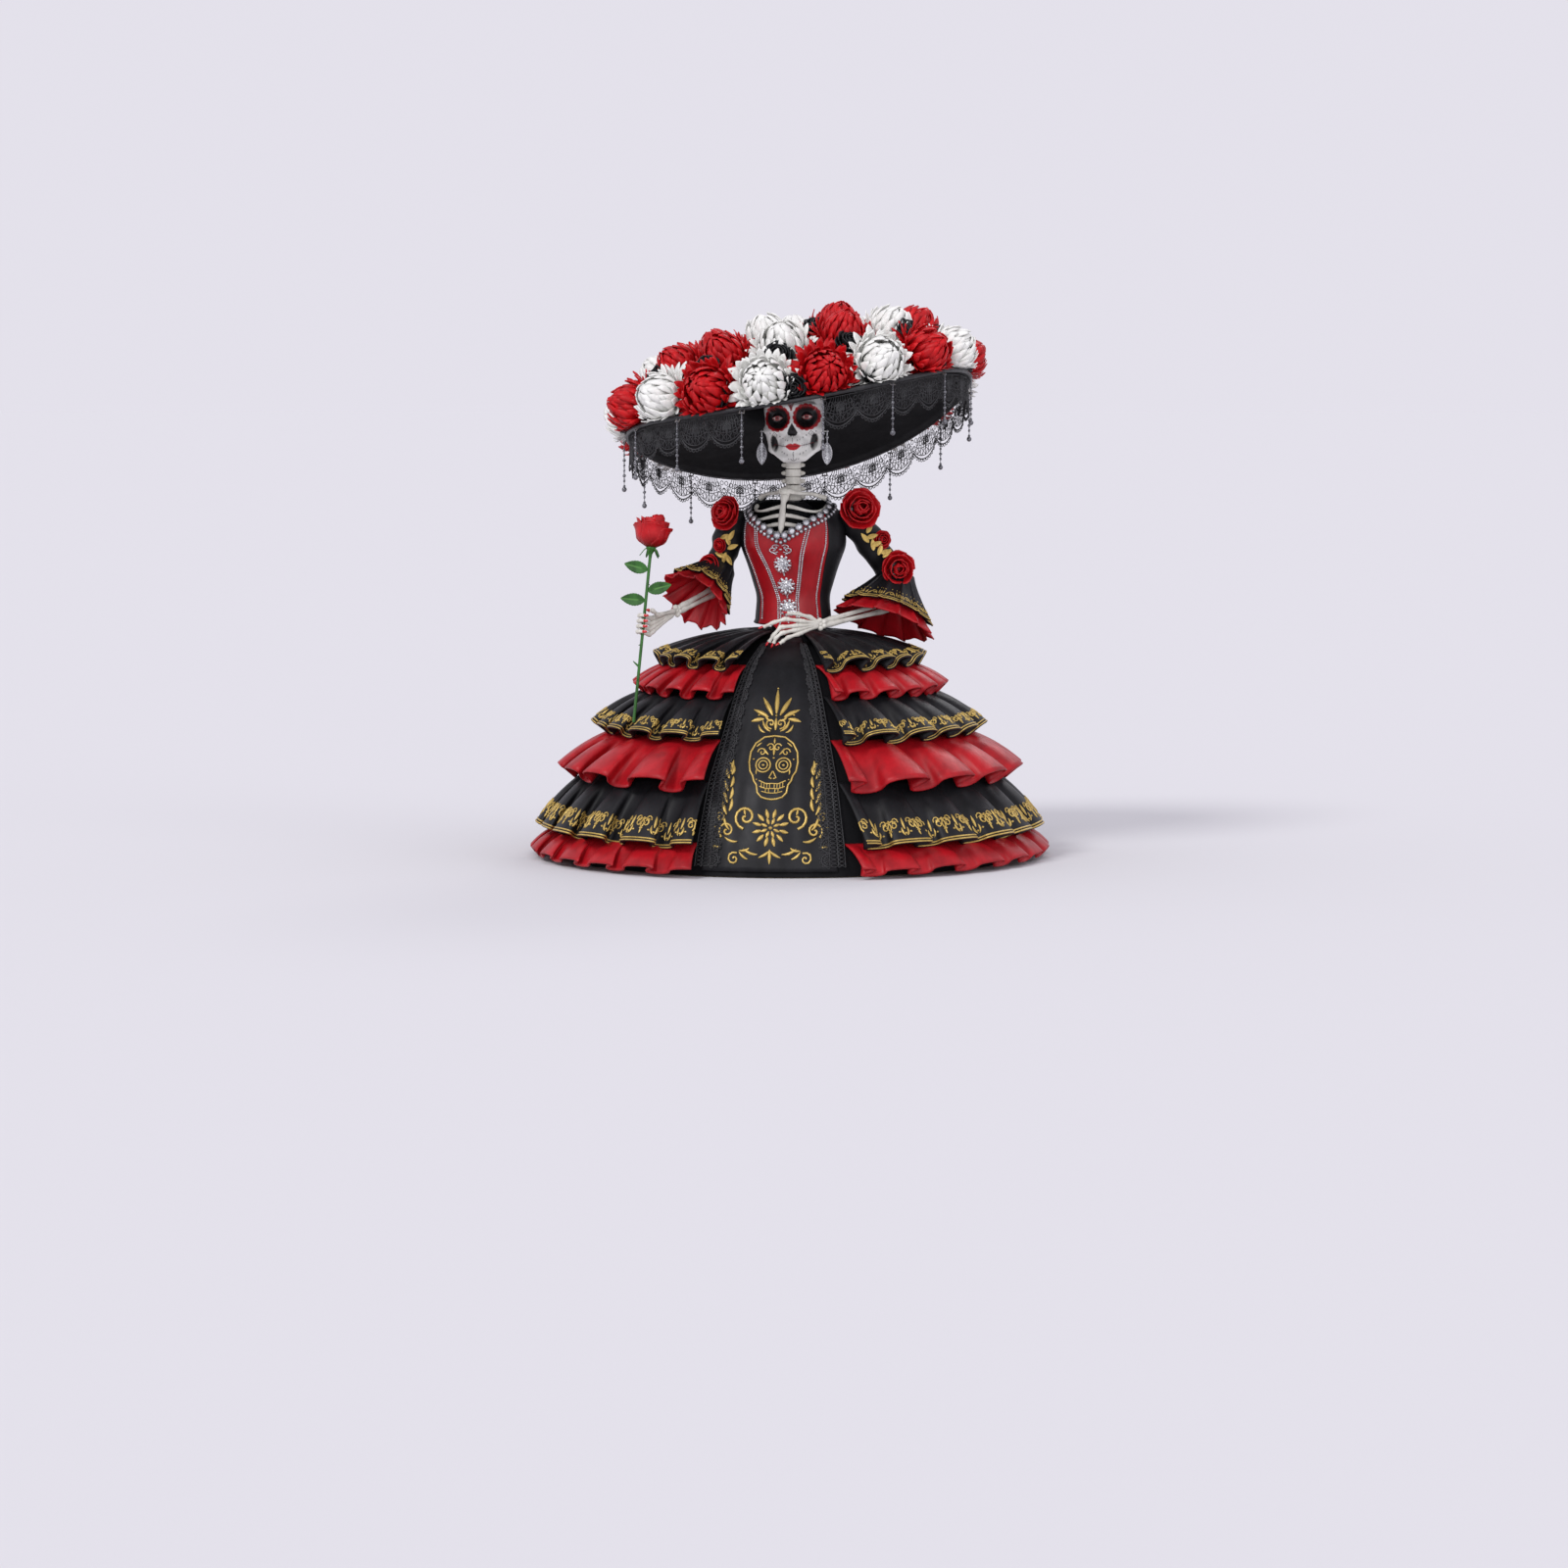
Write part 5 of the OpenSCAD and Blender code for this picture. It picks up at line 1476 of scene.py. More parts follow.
def hanging_scallop():
    across = np.linspace(0, 1, 15)
    strokes = [(np.c_[across, scallop_edge(across) * share], np.full(15, THREAD * width))
               for share, width in ((0.97, 1.1), (0.86, 0.7), (0.60, 0.6))]
    strokes += [line_stroke([(0, 2.2), (0.5, 2.2), (1, 2.2)], THREAD * 0.8)]
    for k in range(9):
        x = (k + 0.5) / 9
        strokes.append(line_stroke([(x, 0.86 * scallop_edge(x)), (mix(x, 0.5, 0.45), 2.2)], THREAD * 0.6))
    for k in range(10):
        x = (k + 0.5) / 10
        loop = oval(0, 0, 0.042, 1.5, THREAD * 0.7, -180, 360, 7)
        strokes.append((loop[0] + (x, scallop_edge(x) * 0.97 + 1.0), loop[1]))
    for row, share in enumerate((0.30, 0.45)):
        count = 7 - row
        for k in range(count):
            x = (k + 0.5 + 0.5 * row) / 7
            petal = oval(0, 0, 0.052, 1.9, THREAD * 0.65, 0, 360, 8)
            strokes.append((petal[0] + (x, scallop_edge(x) * share), petal[1]))
    for k in range(6):
        low, high = 0.62, 0.85
        left, right = k / 6, (k + 1) / 6
        for a, b in ((left, right), (right, left)):
            strokes.append(line_stroke([(a, low * scallop_edge(a)), (b, high * scallop_edge(b))],
                                       THREAD * 0.55))
    rose = [oval(0.5, 11.5, 0.075, 2.5, THREAD * 0.9, 0, 360, 10),
            oval(0.5, 11.5, 0.035, 1.1, THREAD * 0.8, 0, 360, 7)]
    for k in range(6):
        way = math.radians(60 * k + 30)
        spot = oval(0.5 + 0.11 * math.cos(way), 11.5 + 3.7 * math.sin(way), 0.035, 1.2, THREAD * 0.7, 0, 360,
                    7)
        rose.append(spot)
    return strokes + rose


def hang_from_rim(x, y, lift):
    degrees = LACE_START + LACE_SWEEP * x / SCALLOPS
    top = hat_point(LACE_R + 0.4 + 0 * x, degrees, -1.6)
    sway = 0.9 * np.sin(2 * np.pi * x) * np.clip(y / LOBE, 0, 1)
    out = unit(np.stack([np.cos(np.radians(degrees)), np.sin(np.radians(degrees)), 0 * x], axis=-1))
    return top - np.stack([0 * y, 0 * y, y], axis=-1) + out * (sway + lift)[:, None]


fringe = []
for k in range(SCALLOPS):
    fringe += moved(hanging_scallop(), k, 0)
fringe = lay(fringe, hang_from_rim, proud=0.0, sink=0.0)
fringe_piece = finish_piece("fringe_thread", weld(stroke_mesh(fringe)), LACE_BLACK, body="hat",
                            stands_for=["brim_lace"])
mean_drop = float(np.mean(scallop_edge(np.linspace(0, 1, 201)))) * MM
print("fringe: mean drop", round(mean_drop / MM, 1), "mm, triangles", 2 * len(fringe_piece.data.polygons))

# %% [markdown]
# ## Petals
# Every flower on her is made of the same thing, a petal. A petal starts as a small grid and gets its form
# from a side view: a few points that say how far out and how high it is from its root to its tip. It then
# gets a width, a hollow across it and a wall. A ring of petals is one petal copied round the middle with a
# little luck in its turn and size, so each flower needs one mesh for each ring and not for each petal.

# %% One petal
def petal_mesh(side_view, width, wrap=1.0, cup=0.0, tip=0.55, wall_mm=0.7, columns=2, rows=5, wave=0.0):
    """The side view is points of reach and height. A petal with a wrap of 1 bends round the flower."""
    run = np.linspace(0, 1, len(side_view))
    reach, height = rounded(list(zip(run, np.array(side_view)[:, 0])), 0.12), \
        rounded(list(zip(run, np.array(side_view)[:, 1])), 0.12)

    def place(u, v):
        root = np.clip(v / 0.28, 0, 1) ** 0.7
        end = np.clip((1 - v) / (1 - tip), 0, 1) ** 0.55
        x = (2 * u - 1) * width / 2 * (0.35 + 0.65 * root) * (0.12 + 0.88 * end)
        out = reach(v) - wrap * x ** 2 / (2 * np.maximum(reach(v), 3)) + wave * np.cos(2 * np.pi * u) * v ** 2
        return np.stack([x, out, height(v) + cup * (x / (width / 2)) ** 2], axis=-1)

    bm = bend_grid(place, columns, rows)
    # The "root" mask is strongest at the foot of the petal and gone by its middle: the petal paints lay painted shade
    # over it.
    rooted = bm.verts.layers.float.new("root")
    for vertex, v in zip(bm.verts, np.repeat(np.linspace(0, 1, rows + 1), columns + 1)):
        vertex[rooted] = max(0.0, 1 - 1.7 * v) ** 1.5
    bmesh.ops.solidify(bm, geom=bm.faces, thickness=wall_mm * MM)
    bmesh.ops.recalc_face_normals(bm, faces=bm.faces)
    mesh = bpy.data.meshes.new("petal")
    bm.to_mesh(mesh)
    bm.free()
    return mesh


def ring_of(bm, petal, count, luck, turn=0.0, tip_luck=0.07, size_luck=0.08, skip=0.0):
    for k in range(count):
        if luck.random() < skip:
            continue
        spin = Matrix.Rotation(turn + 2 * math.pi * (k + luck.uniform(-0.18, 0.18)) / count, 4, "Z")
        tip = Matrix.Rotation(luck.uniform(-tip_luck, tip_luck), 4, "X")
        size = Matrix.Scale(luck.uniform(1 - size_luck, 1 + size_luck), 4)
        add_mesh(bm, petal, spin @ tip @ size)


def flower_mesh(rings, heart, seed):
    """A flower with its foot at the origin. A ring is its petal and a count; the heart is a hidden core."""
    luck = random.Random(seed)
    bm = bmesh.new()
    bm.verts.layers.float.new("root")
    bmesh.ops.create_icosphere(bm, subdivisions=2, radius=heart[0] * MM,
                               matrix=Matrix.Translation((0, 0, heart[1] * MM)))
    # The heart is all "root", so it takes the full dark painted shade of the petal paint.
    rooted = bm.verts.layers.float["root"]
    for vertex in bm.verts:
        vertex[rooted] = 1.0
    for petal, count in rings:
        ring_of(bm, petal, count, luck, turn=luck.uniform(0, 6.28))
    mesh = bpy.data.meshes.new("flower")
    bm.to_mesh(mesh)
    bm.free()
    return mesh


# %% [markdown]
# ## Chrysanthemums
# A show chrysanthemum has a ball of petals that curl over its middle, and long spoons that open below it.
# The red ones have pointed spoons and the white ones round ones. Three seeds give three flowers of each
# colour, and they are turned as they are set, so no two neighbours look the same.

# %% Grow the flowers
def chrysanthemum_rings(tip):
    spoon = tip + 0.1
    return [
        (petal_mesh([(6, 16), (8.0, 25), (5.5, 30.5), (0.6, 32.6)], 6.6, tip=tip), 7),
        (petal_mesh([(9, 10), (12.2, 20), (10.5, 28), (4.0, 32.2)], 7.6, tip=tip), 10),
        (petal_mesh([(11, 6), (15.4, 14.5), (15.0, 24), (9.0, 30.8)], 8.2, tip=tip), 13),
        (petal_mesh([(11, 3), (17.8, 9.5), (18.8, 19.5), (14.4, 28)], 8.4, tip=tip), 15),
        (petal_mesh([(9, 3), (18.6, 6), (22.4, 14), (21.4, 23)], 8.2, wrap=0.8, cup=0.6, tip=tip), 16),
        (petal_mesh([(8, 3), (18, 5), (25, 11), (28, 18)], 7.4, wrap=0.3, cup=1.2, tip=spoon), 16),
        (petal_mesh([(8, 3), (18, 3.5), (27, 6.5), (32.5, 10)], 7.0, wrap=0, cup=1.5, tip=spoon), 16),
        (petal_mesh([(8, 2), (18, 1), (27.5, 0.5), (35, 0.5)], 7.2, wrap=0, cup=1.3, tip=spoon), 14)]


MOUND_R = 141
MOUND_H = 60


def on_mound(climb, degrees, off):
    up = math.radians(climb)
    return hat_point((MOUND_R + off) * math.cos(up), degrees, 2.6 + (MOUND_H + off) * math.sin(up))


def rest_on_brim(bm):
    """Lift any petal that would pass through the brim, so that it lies on top of it."""
    points = np.array([vertex.co[:] for vertex in bm.verts]) / MM - HAT_AT
    x = points[:, 0] * math.cos(HAT_ROLL) + points[:, 2] * math.sin(HAT_ROLL)
    z = points[:, 2] * math.cos(HAT_ROLL) - points[:, 0] * math.sin(HAT_ROLL)
    y = points[:, 1] * math.cos(HAT_TILT) - z * math.sin(HAT_TILT)
    z = z * math.cos(HAT_TILT) + points[:, 1] * math.sin(HAT_TILT)
    radius, degrees = np.hypot(x, y), np.degrees(np.arctan2(y, x))
    flat = z - SADDLE * (radius / 150) ** 2 * np.cos(2 * np.radians(degrees))
    ledge = np.interp(radius, [52, 100, BRIM_R, BRIM_R + 4, BRIM_R + 20], [18.5, 8.5, 2.2, 1.4, -7.0])
    low = flat < ledge
    for vertex, point in zip(np.array(bm.verts)[low],
                             hat_point(radius, degrees, mix(ledge, flat, 0.06))[low]):
        vertex.co = Vector(point) * MM
    return bm


def set_flowers(places, flowers, seed, size):
    """Stand copies of the flowers on the mound. A place is its climb, its angle and how deep it sinks."""
    luck = random.Random(seed)
    bm = bmesh.new()
    bm.verts.layers.float.new("root")
    for climb, degrees, sink in places:
        foot = on_mound(climb, degrees, -sink)
        way = on_mound(climb, degrees, 10) - foot
        way = unit(unit(way) + (luck.uniform(-0.08, 0.08), luck.uniform(-0.08, 0.08), 0))
        scale = size * luck.uniform(0.93, 1.05)
        add_mesh(bm, luck.choice(flowers), stand(foot, way, luck.uniform(0, 6.28), scale))
    return rest_on_brim(bm)


MUM_RINGS = [(13, 18, 200, 0), (43, 13, 240, 0), (66, 6, 255, 1), (88, 1, 0, 1)]
mum_places = {0: [], 1: []}
for climb, count, first, first_colour in MUM_RINGS:
    for i in range(count):
        mum_places[(first_colour + i) % 2].append((climb, first + 360 * i / count, 1.5))

for colour, name, tip, material, slot in ((0, "red_chrysanthemum", 0.36, MUM_RED, "mum_red"),
                                          (1, "white_chrysanthemum", 0.5, MUM_WHITE, "mum_white")):
    rings = chrysanthemum_rings(tip)
    flowers = [flower_mesh(rings, (9, 14), seed) for seed in (3, 4, 5)]
    piece = finish_piece(name + "_petals", set_flowers(mum_places[colour], flowers, 11 + colour, 0.98),
                         material,
                         body="hat", stands_for=[name + "s"])
    print(name, "flowers:", len(mum_places[colour]), "faces:", len(piece.data.polygons))


# %% Black roses between them
def rose_rings(open_petals=True, columns=4):
    """A rose of radius 10: a tight heart, then petals that wrap it and roll back at their rims."""
    rings = [
        (petal_mesh([(1.2, 2), (2.2, 7), (1.8, 10), (1.2, 11)], 5, tip=0.8, columns=columns, wall_mm=0.5), 3),
        (petal_mesh([(2, 2), (3.9, 6.5), (3.6, 9.6), (3.3, 11)], 8, tip=0.8, columns=columns, wall_mm=0.5),
         4),
        (petal_mesh([(3, 1), (5.8, 5.5), (5.9, 8.6), (6.6, 10.2)], 10, tip=0.8, columns=columns, wall_mm=0.5),
         5),
        (petal_mesh([(3, 1), (7.2, 4), (7.8, 7.2), (9.2, 8.6)], 11, tip=0.8, columns=columns, wall_mm=0.5),
         6)]
    if open_petals:
        rings.append((petal_mesh([(3, 0.6), (7.8, 2), (9.6, 4.6), (11.4, 5.6)], 12, tip=0.8, wrap=0.8,
                                 columns=columns, wall_mm=0.5), 6))
    return rings


gaps = [(6, 213.8 + 360 * i / 13, -1) for i in range(13)] + [(31, 210 + 360 * i / 13, -6) for i in range(13)]
gaps += [(56, 227 + 60 * i, -7) for i in range(6)]
black_flowers = [flower_mesh(rose_rings(), (4, 4), seed) for seed in (7, 8)]
piece = finish_piece("black_rose_petals", set_flowers(gaps, black_flowers, 21, 1.25), PETAL_BLACK, body="hat",
                     stands_for=["black_roses"])
print("black roses:", len(gaps), "faces:", len(piece.data.polygons))
# %% [markdown]
# ## Sleeves
# A sleeve is a tube that follows the arm from shoulder to elbow. Cloth that is too long for the arm sags into
# slanting wrinkles, which are deepest at the elbow, so the wrinkle rule winds a few soft waves round the tube
# and lets them grow towards the cuff.

# %% A tube along a bent line
SHOULDERS = {1: (47, -8, 298), -1: (-44, 14, 297)}
ELBOWS = {1: (94, 12, 226), -1: (-62, 10, 232)}
SLEEVE_BENDS = {1: (3, 0, 3), -1: (-3, 0, 1)}
SLEEVE_RADII = [9, 13.5, 14, 13.2, 12.4, 11.6, 10.5]


def square_to(way, hint=(0, 0, 1)):
    """Two directions square to a way and to each other."""
    first = unit(np.cross(hint, way))
    return first, np.cross(unit(way), first)


def sleeve_rule(side):
    start, end, bend = (np.array(part[side], float) for part in (SHOULDERS, ELBOWS, SLEEVE_BENDS))
    radius = rounded(list(zip(np.linspace(0, 1, 7), SLEEVE_RADII)), 0.08)
    first, second = square_to(end - start, (0, -1, 0))

    def place(u, v):
        turn = 2 * np.pi * u
        wrinkle = 0.9 * np.sin(19 * v + 1.4 * np.sin(turn + side) + 2 * turn) * np.clip(2.2 * v - 0.3, 0.15,
                                                                                        1)
        wrinkle += 0.45 * np.sin(31 * v + 2.2 * np.cos(turn) - turn)
        reach = radius(v) - 0.8 + wrinkle
        middle = start + v[:, None] * (end - start) + (4 * v * (1 - v))[:, None] * bend
        return middle + reach[:, None] * (np.cos(turn)[:, None] * first + np.sin(turn)[:, None] * second)
    return place


for side, name in ((1, "sleeve_left"), (-1, "sleeve_right")):
    bm = bend_grid(sleeve_rule(side), 56, 44, ring=True)
    bmesh.ops.holes_fill(bm, edges=[edge for edge in bm.edges if edge.is_boundary])
    bmesh.ops.recalc_face_normals(bm, faces=bm.faces)
    finish_piece(name + "_cloth", bm, SATIN_BLACK, stands_for=[name])

# %% [markdown]
# ## Cuffs
# Each arm ends in two bells of pleated cloth, a black one over a longer red one. A bell is a cone about the
# arm, and its pleats open towards the mouth. The black ones carry the painted hem of the skirt, bent round
# the
# bell: two lines along the edge, and a repeat of curls and leaves above them.

# %% Bells
PLEATS = 13
CUFF_WALL = 1.1
CUFFS = {
    "cuff_left_black": ((94, 6, 243), (-0.28, -0.29, -0.915), 0, 35, 15, 39, 3.0, SATIN_BLACK,
                        "flounce_black"),
    "cuff_left_red": ((94, 6, 243), (-0.28, -0.29, -0.915), 12, 34, 15, 43, 3.4, SATIN_RED, "flounce_red"),
    "cuff_right_black": ((-60, 10, 248), (-0.50, -0.60, -0.62), 0, 34, 14.5, 29, 2.6, SATIN_BLACK,
                         "flounce_black"),
    "cuff_right_red": ((-60, 10, 248), (-0.50, -0.60, -0.62), 12, 33, 14.5, 32, 2.8, SATIN_RED,
                       "flounce_red")}


def cuff_rule(apex, way, start, length, throat, mouth, depth):
    way = unit(way)
    first, second = square_to(way)

    def place(u, v, off=0.0):
        turn = 2 * np.pi * np.asarray(u)
        v = np.asarray(v)
        lobe = np.sin(PLEATS * turn + 0.8 * np.sin(2 * turn) + 0.7 * np.sin(PLEATS * turn))
        reach = mix(throat, mouth, np.clip(v, 0, 1) ** 1.25) + depth * lobe * v ** 0.8 - 0.4 + off
        swing = turn + 0.055 * np.cos(PLEATS * turn) * v
        run = start + length * v + 0.9 * np.cos(3 * turn + 1) * v - 1.2 * v * (lobe < 0) * -lobe
        return np.array(apex) + run[:, None] * way + reach[:, None] * (
            np.cos(swing)[:, None] * first + np.sin(swing)[:, None] * second)
    return place


def cuff_hem():
    """One repeat of the hem, 1 wide. The height is in millimetres above the edge."""
    strokes = []
    for x, turn in ((0.27, 1), (0.73, -1)):
        angle = np.linspace(0, 1, 12)
        wind = 200 - 400 * angle
        reach = 0.145 * (1 - 0.75 * angle)
        strokes.append((np.c_[x + turn * reach * np.cos(np.radians(wind)),
                              6.4 + 14 * reach * np.sin(np.radians(wind))], np.full(12, 0.42)))
    for x, y, lean, size in ((0.5, 5.0, 0, 4.6), (0.42, 4.6, -0.10, 3.4), (0.58, 4.6, 0.10, 3.4),
                             (0.0, 4.4, 0, 4.2), (0.07, 4.2, 0.08, 3.0), (0.93, 4.2, -0.08, 3.0)):
        t = np.array([0, 0.3, 0.6, 0.85, 1.0])
        strokes.append((np.c_[x + lean * t, y + size * t], 0.75 * np.array([0.3, 0.9, 1.0, 0.6, 0.1])))
    for x, y in ((0.27, 11.4), (0.73, 11.4), (0.5, 11.6), (0.0, 10.4)):
        strokes.append((np.array([(x - 0.022, y), (x, y), (x + 0.022, y)]), np.array([0.35, 0.62, 0.35])))
    return strokes


for name, (apex, way, start, length, throat, mouth, depth, cloth, slot) in CUFFS.items():
    place = cuff_rule(apex, way, start, length, throat, mouth, depth)
    bm = bend_grid(place, PLEATS * 14, 22, ring=True)
    face_out(bm, np.array(apex) + 0.5 * length * unit(way))
    piece = finish_piece(name + "_cloth", bm, cloth, stands_for=[name])
    wall(piece, CUFF_WALL)
    if cloth is SATIN_BLACK:
        edge = np.linspace(0, 1, PLEATS * 14 + 1)
        lines = [(place(edge, 1 + 0 * edge - 0.6 / length, 0.1), 0.62),
                 (place(edge, 1 + 0 * edge - 2.6 / length, 0.1), 0.4)]
        for k in range(PLEATS):
            for points, widths in cuff_hem():
                lines.append((place((k + points[:, 0]) / PLEATS, 1 - points[:, 1] / length,
                                    0.28 - 0.5 * widths), widths))
        finish_piece(name + "_gold", stroke_mesh(lines), GOLD)
print("cuffs:", len(CUFFS))

# %% [markdown]
# ## Hands
# Her hands are bare bones. A finger bone is a rod that is thin in its middle and thick at both ends, so each
# bone is a stroke with its radius set at seven stations. Two forearm bones, a heap of small wrist bones and
# four long bones of the palm carry the fingers. The nails are varnished red.

# %% Bones of the hands
BONE_T = np.array([0, 0.10, 0.24, 0.5, 0.76, 0.90, 1.0])
BONE_R = np.array([0.78, 1.0, 0.80, 0.68, 0.78, 0.98, 0.72])
WRIST_LEFT = np.array([27.0, -60, 203])
WRIST_RIGHT = np.array([-96.0, -46, 214])


def bone(start, end, radius):
    start, end = np.array(start, float), np.array(end, float)
    t = BONE_T * 0.93 + 0.035
    return start + t[:, None] * (end - start), radius * BONE_R


def finger(joints, radius=2.35):
    return [bone(joints[k], joints[k + 1], radius * (1 - 0.06 * k)) for k in range(len(joints) - 1)]


def fingertip_nail(bm, joints, up):
    """A red nail on the last bone, on the side that is up, reaching past the tip."""
    last, tip = np.array(joints[-2], float), np.array(joints[-1], float)
    way = unit(tip - last)
    up = unit(np.array(up) - way * (np.array(up) @ way))
    middle = tip + way * 1.2 + up * 0.7
    matrix = Matrix.Translation(Vector(middle) * MM) @ Matrix(
        [(*row, 0) for row in np.stack([np.cross(way, up), way, up], axis=1)] + [(0, 0, 0, 1)]).to_4x4()
    bmesh.ops.create_icosphere(bm, subdivisions=2, radius=MM,
                               matrix=matrix @ Matrix.Diagonal((1.25, 3.0, 0.7, 1)))


def wrist_bones(bm, wrist, toward, spread):
    """Two rows of small round bones across the wrist."""
    toward = unit(toward)
    across = unit(np.array(spread) - toward * (np.array(spread) @ toward))
    for row, count in ((-1.9, 2), (1.4, 3)):
        for k in range(count):
            middle = wrist + toward * row + across * (k - (count - 1) / 2) * 3.0
            matrix = Matrix.Translation(Vector(middle) * MM) @ Matrix.Diagonal((1, 1, 1.1, 1))
            bmesh.ops.create_icosphere(bm, subdivisions=2, radius=2.5 * MM, matrix=matrix)


def build_hand(name, elbow, wrist, fingers, up, spread):
    bones = []
    for offset in (np.array([0, 1.7, 3.2]), np.array([0, -1.7, -3.2])):
        bones.append(bone(np.array(elbow) + offset, wrist + 0.55 * offset, 2.75))
    for joints in fingers:
        bones += finger([wrist + 0.12 * (np.array(joints[0]) - wrist)] + list(joints))
    bm = bmesh.new()
    bm.from_mesh(stroke_mesh(bones, 3))
    for joints in fingers:
        for joint, size in zip(joints[:-1], (2.3, 2.1, 1.9)):
            add_mesh(bm, small_ball(size, 2), Matrix.Translation(Vector(joint) * MM))
    wrist_bones(bm, wrist, np.mean([joints[0] for joints in fingers[:4]], axis=0) - wrist, spread)
    finish_piece(name + "_bones", bm, BONE, stands_for=[name])
    bm = bmesh.new()
    for joints, way in zip(fingers, up):
        fingertip_nail(bm, joints, way)
    finish_piece(name + "_nails", bm, NAIL_RED)


NAIL_RED = paint("nail_varnish", (0.50, 0.006, 0.012), (0.40, 0.004, 0.010), 0.2, coat=0.6, lumps=0.05)
LEFT_FINGERS = [
    [(9, -67, 206), (-4, -71, 208), (-14, -73, 205), (-23, -73, 201)],
    [(6, -68, 202), (-8, -72, 201), (-14, -73, 194), (-18, -73, 188)],
    [(5, -68, 198.5), (-7, -72, 196), (-12, -73, 192), (-14, -73, 187)],
    [(7, -67, 195), (-2, -70, 192), (-6, -72, 189), (-9, -73, 187)],
    [(17, -63, 209), (7, -68, 212), (-3, -72, 213)]]
build_hand("hand_left", (88, 4, 216), WRIST_LEFT, LEFT_FINGERS, [(-0.4, -0.6, 0.8)] * 5, (0.1, 0, 1))

# %% [markdown]
# Her right hand closes round the stem of the rose. The finger joints are set on a circle about the stem, so
# the fingers curl round it and leave it free to slide out.

# %% The hand with the rose
STEM_FOOT = np.array([-132.0, -98, 122])
GRIP = np.array([-124.0, -84, 204])
STEM_WAY = unit(GRIP - STEM_FOOT)
FINGER_CLEAR = 4.5
PALM_R = 14
TO_WRIST = unit((WRIST_RIGHT - GRIP) - ((WRIST_RIGHT - GRIP) @ STEM_WAY) * STEM_WAY)
ACROSS = np.cross(STEM_WAY, TO_WRIST)


def round_stem(degrees, height, radius=FINGER_CLEAR):
    angle = math.radians(degrees)
    return GRIP + STEM_WAY * height + radius * (TO_WRIST * math.cos(angle) + ACROSS * math.sin(angle))


right_fingers = [[round_stem(14, height, PALM_R)] + [round_stem(angle, height) for angle in (55, 115, 170,
                                                                                             222)]
                 for height in (7.2, 2.6, -2, -6.6)]
right_fingers.append([round_stem(-18, 10, PALM_R), round_stem(-45, 12.5, 6.5), round_stem(-100, 12, 4.8)])
nail_ways = [joints[-1] - GRIP - STEM_WAY * ((joints[-1] - GRIP) @ STEM_WAY) for joints in right_fingers]
build_hand("hand_right", (-62, 4, 230), WRIST_RIGHT, right_fingers, nail_ways, STEM_WAY)

# %% [markdown]
# ## Roses and gold leaves on the sleeves
# Three red roses are sewn to each sleeve, with sprays of gilded leaves between them. A rose is the same
# flower as the black ones on the hat, in a finer mesh, and the large ones are the same roses made larger. A
# gilded leaf has a fold down its middle.

# %% Sleeve roses
SLEEVE_ROSES = [
    ((58, -20, 298), (0.25, -0.93, 0.25), 19), ((79, -11, 273), (0.25, -0.95, 0.1), 8.5),
    ((92, -9, 248), (0.2, -0.97, 0), 16), ((-52, -2, 295), (-0.55, -0.8, 0.2), 16),
    ((-59, -2, 268), (-0.6, -0.8, 0), 7), ((-66, 0, 250), (-0.65, -0.75, 0), 12)]
red_roses = [flower_mesh(rose_rings(columns=6), (3.4, 4.4), seed) for seed in (15, 16, 17)]
bm = bmesh.new()
bm.verts.layers.float.new("root")
for k, (foot, way, radius) in enumerate(SLEEVE_ROSES):
    add_mesh(bm, red_roses[k % 3], stand(foot, way, 1.3 * k, radius / 12.2))
finish_piece("sleeve_rose_petals", bm, ROSE_RED, stands_for=["sleeve_roses"])


def leaf_mesh(length, width, fold, droop, teeth=0.0, veins=True):
    """A leaf along +X with its face up, folded along its middle and drooping to its tip."""
    def place(u, v):
        side = 2 * u - 1
        half = width / 2 * np.sin(np.pi * v ** 0.85) ** 0.8 * (1 + teeth * np.abs(np.sin(9 * np.pi * v)) * np.abs(side))
        vein = 0.022 * width * np.sin(np.clip(np.abs(side), 0,
                                              1) * 3 - 22 * v) * np.abs(side) * (1 - np.abs(side))
        lift = fold * half * np.abs(side) + (vein if veins else 0)
        return np.stack([length * v, half * side, lift - droop * v ** 2], axis=-1)

    bm = bend_grid(place, 10, 30)
    rooted = bm.verts.layers.float.new("root")
    for vertex in bm.verts:
        spine = abs(vertex.co.y) / (width / 2 * MM)
        vertex[rooted] = max(0.0, 1 - 9 * spine) * 0.9
    bmesh.ops.remove_doubles(bm, verts=bm.verts, dist=0.02 * MM)
    bmesh.ops.solidify(bm, geom=bm.faces, thickness=0.6 * MM)
    bmesh.ops.recalc_face_normals(bm, faces=bm.faces)
    mesh = bpy.data.meshes.new("leaf")
    bm.to_mesh(mesh)
    bm.free()
    return mesh


SLEEVE_LEAVES = [
    ((66, -22.5, 279), 60), ((70, -21, 268), 20), ((76, -19, 260), 70), ((68, -22, 271), 130),
    ((78, -18.5, 262), 10), ((-52, -5, 277), 200), ((-55, -5.5, 262), 250), ((-52, -5.5, 268), 110),
    ((-56, -5, 258), 160), ((72, -20.5, 264), 95), ((66, -22, 275), 15), ((80, -18, 258), 45),
    ((-53, -5.5, 272), 60), ((-54, -5.5, 265), 20), ((-55, -5.2, 260), 300)]
gold_leaf = leaf_mesh(10.5, 4.2, 0.25, 0.8)
bm = bmesh.new()
for foot, turn in SLEEVE_LEAVES:
    lean = Matrix.Rotation(math.radians(-25 if foot[0] < 0 else 12), 4, "Z") @ Matrix.Rotation(math.pi / 2, 4,
                                                                                               "X")
    add_mesh(bm, gold_leaf,
             Matrix.Translation(Vector(foot) * MM) @ lean @ Matrix.Rotation(math.radians(turn), 4, "Z"))
finish_piece("sleeve_gold_leaves", bm, GOLD, stands_for=["sleeve_leaves"])

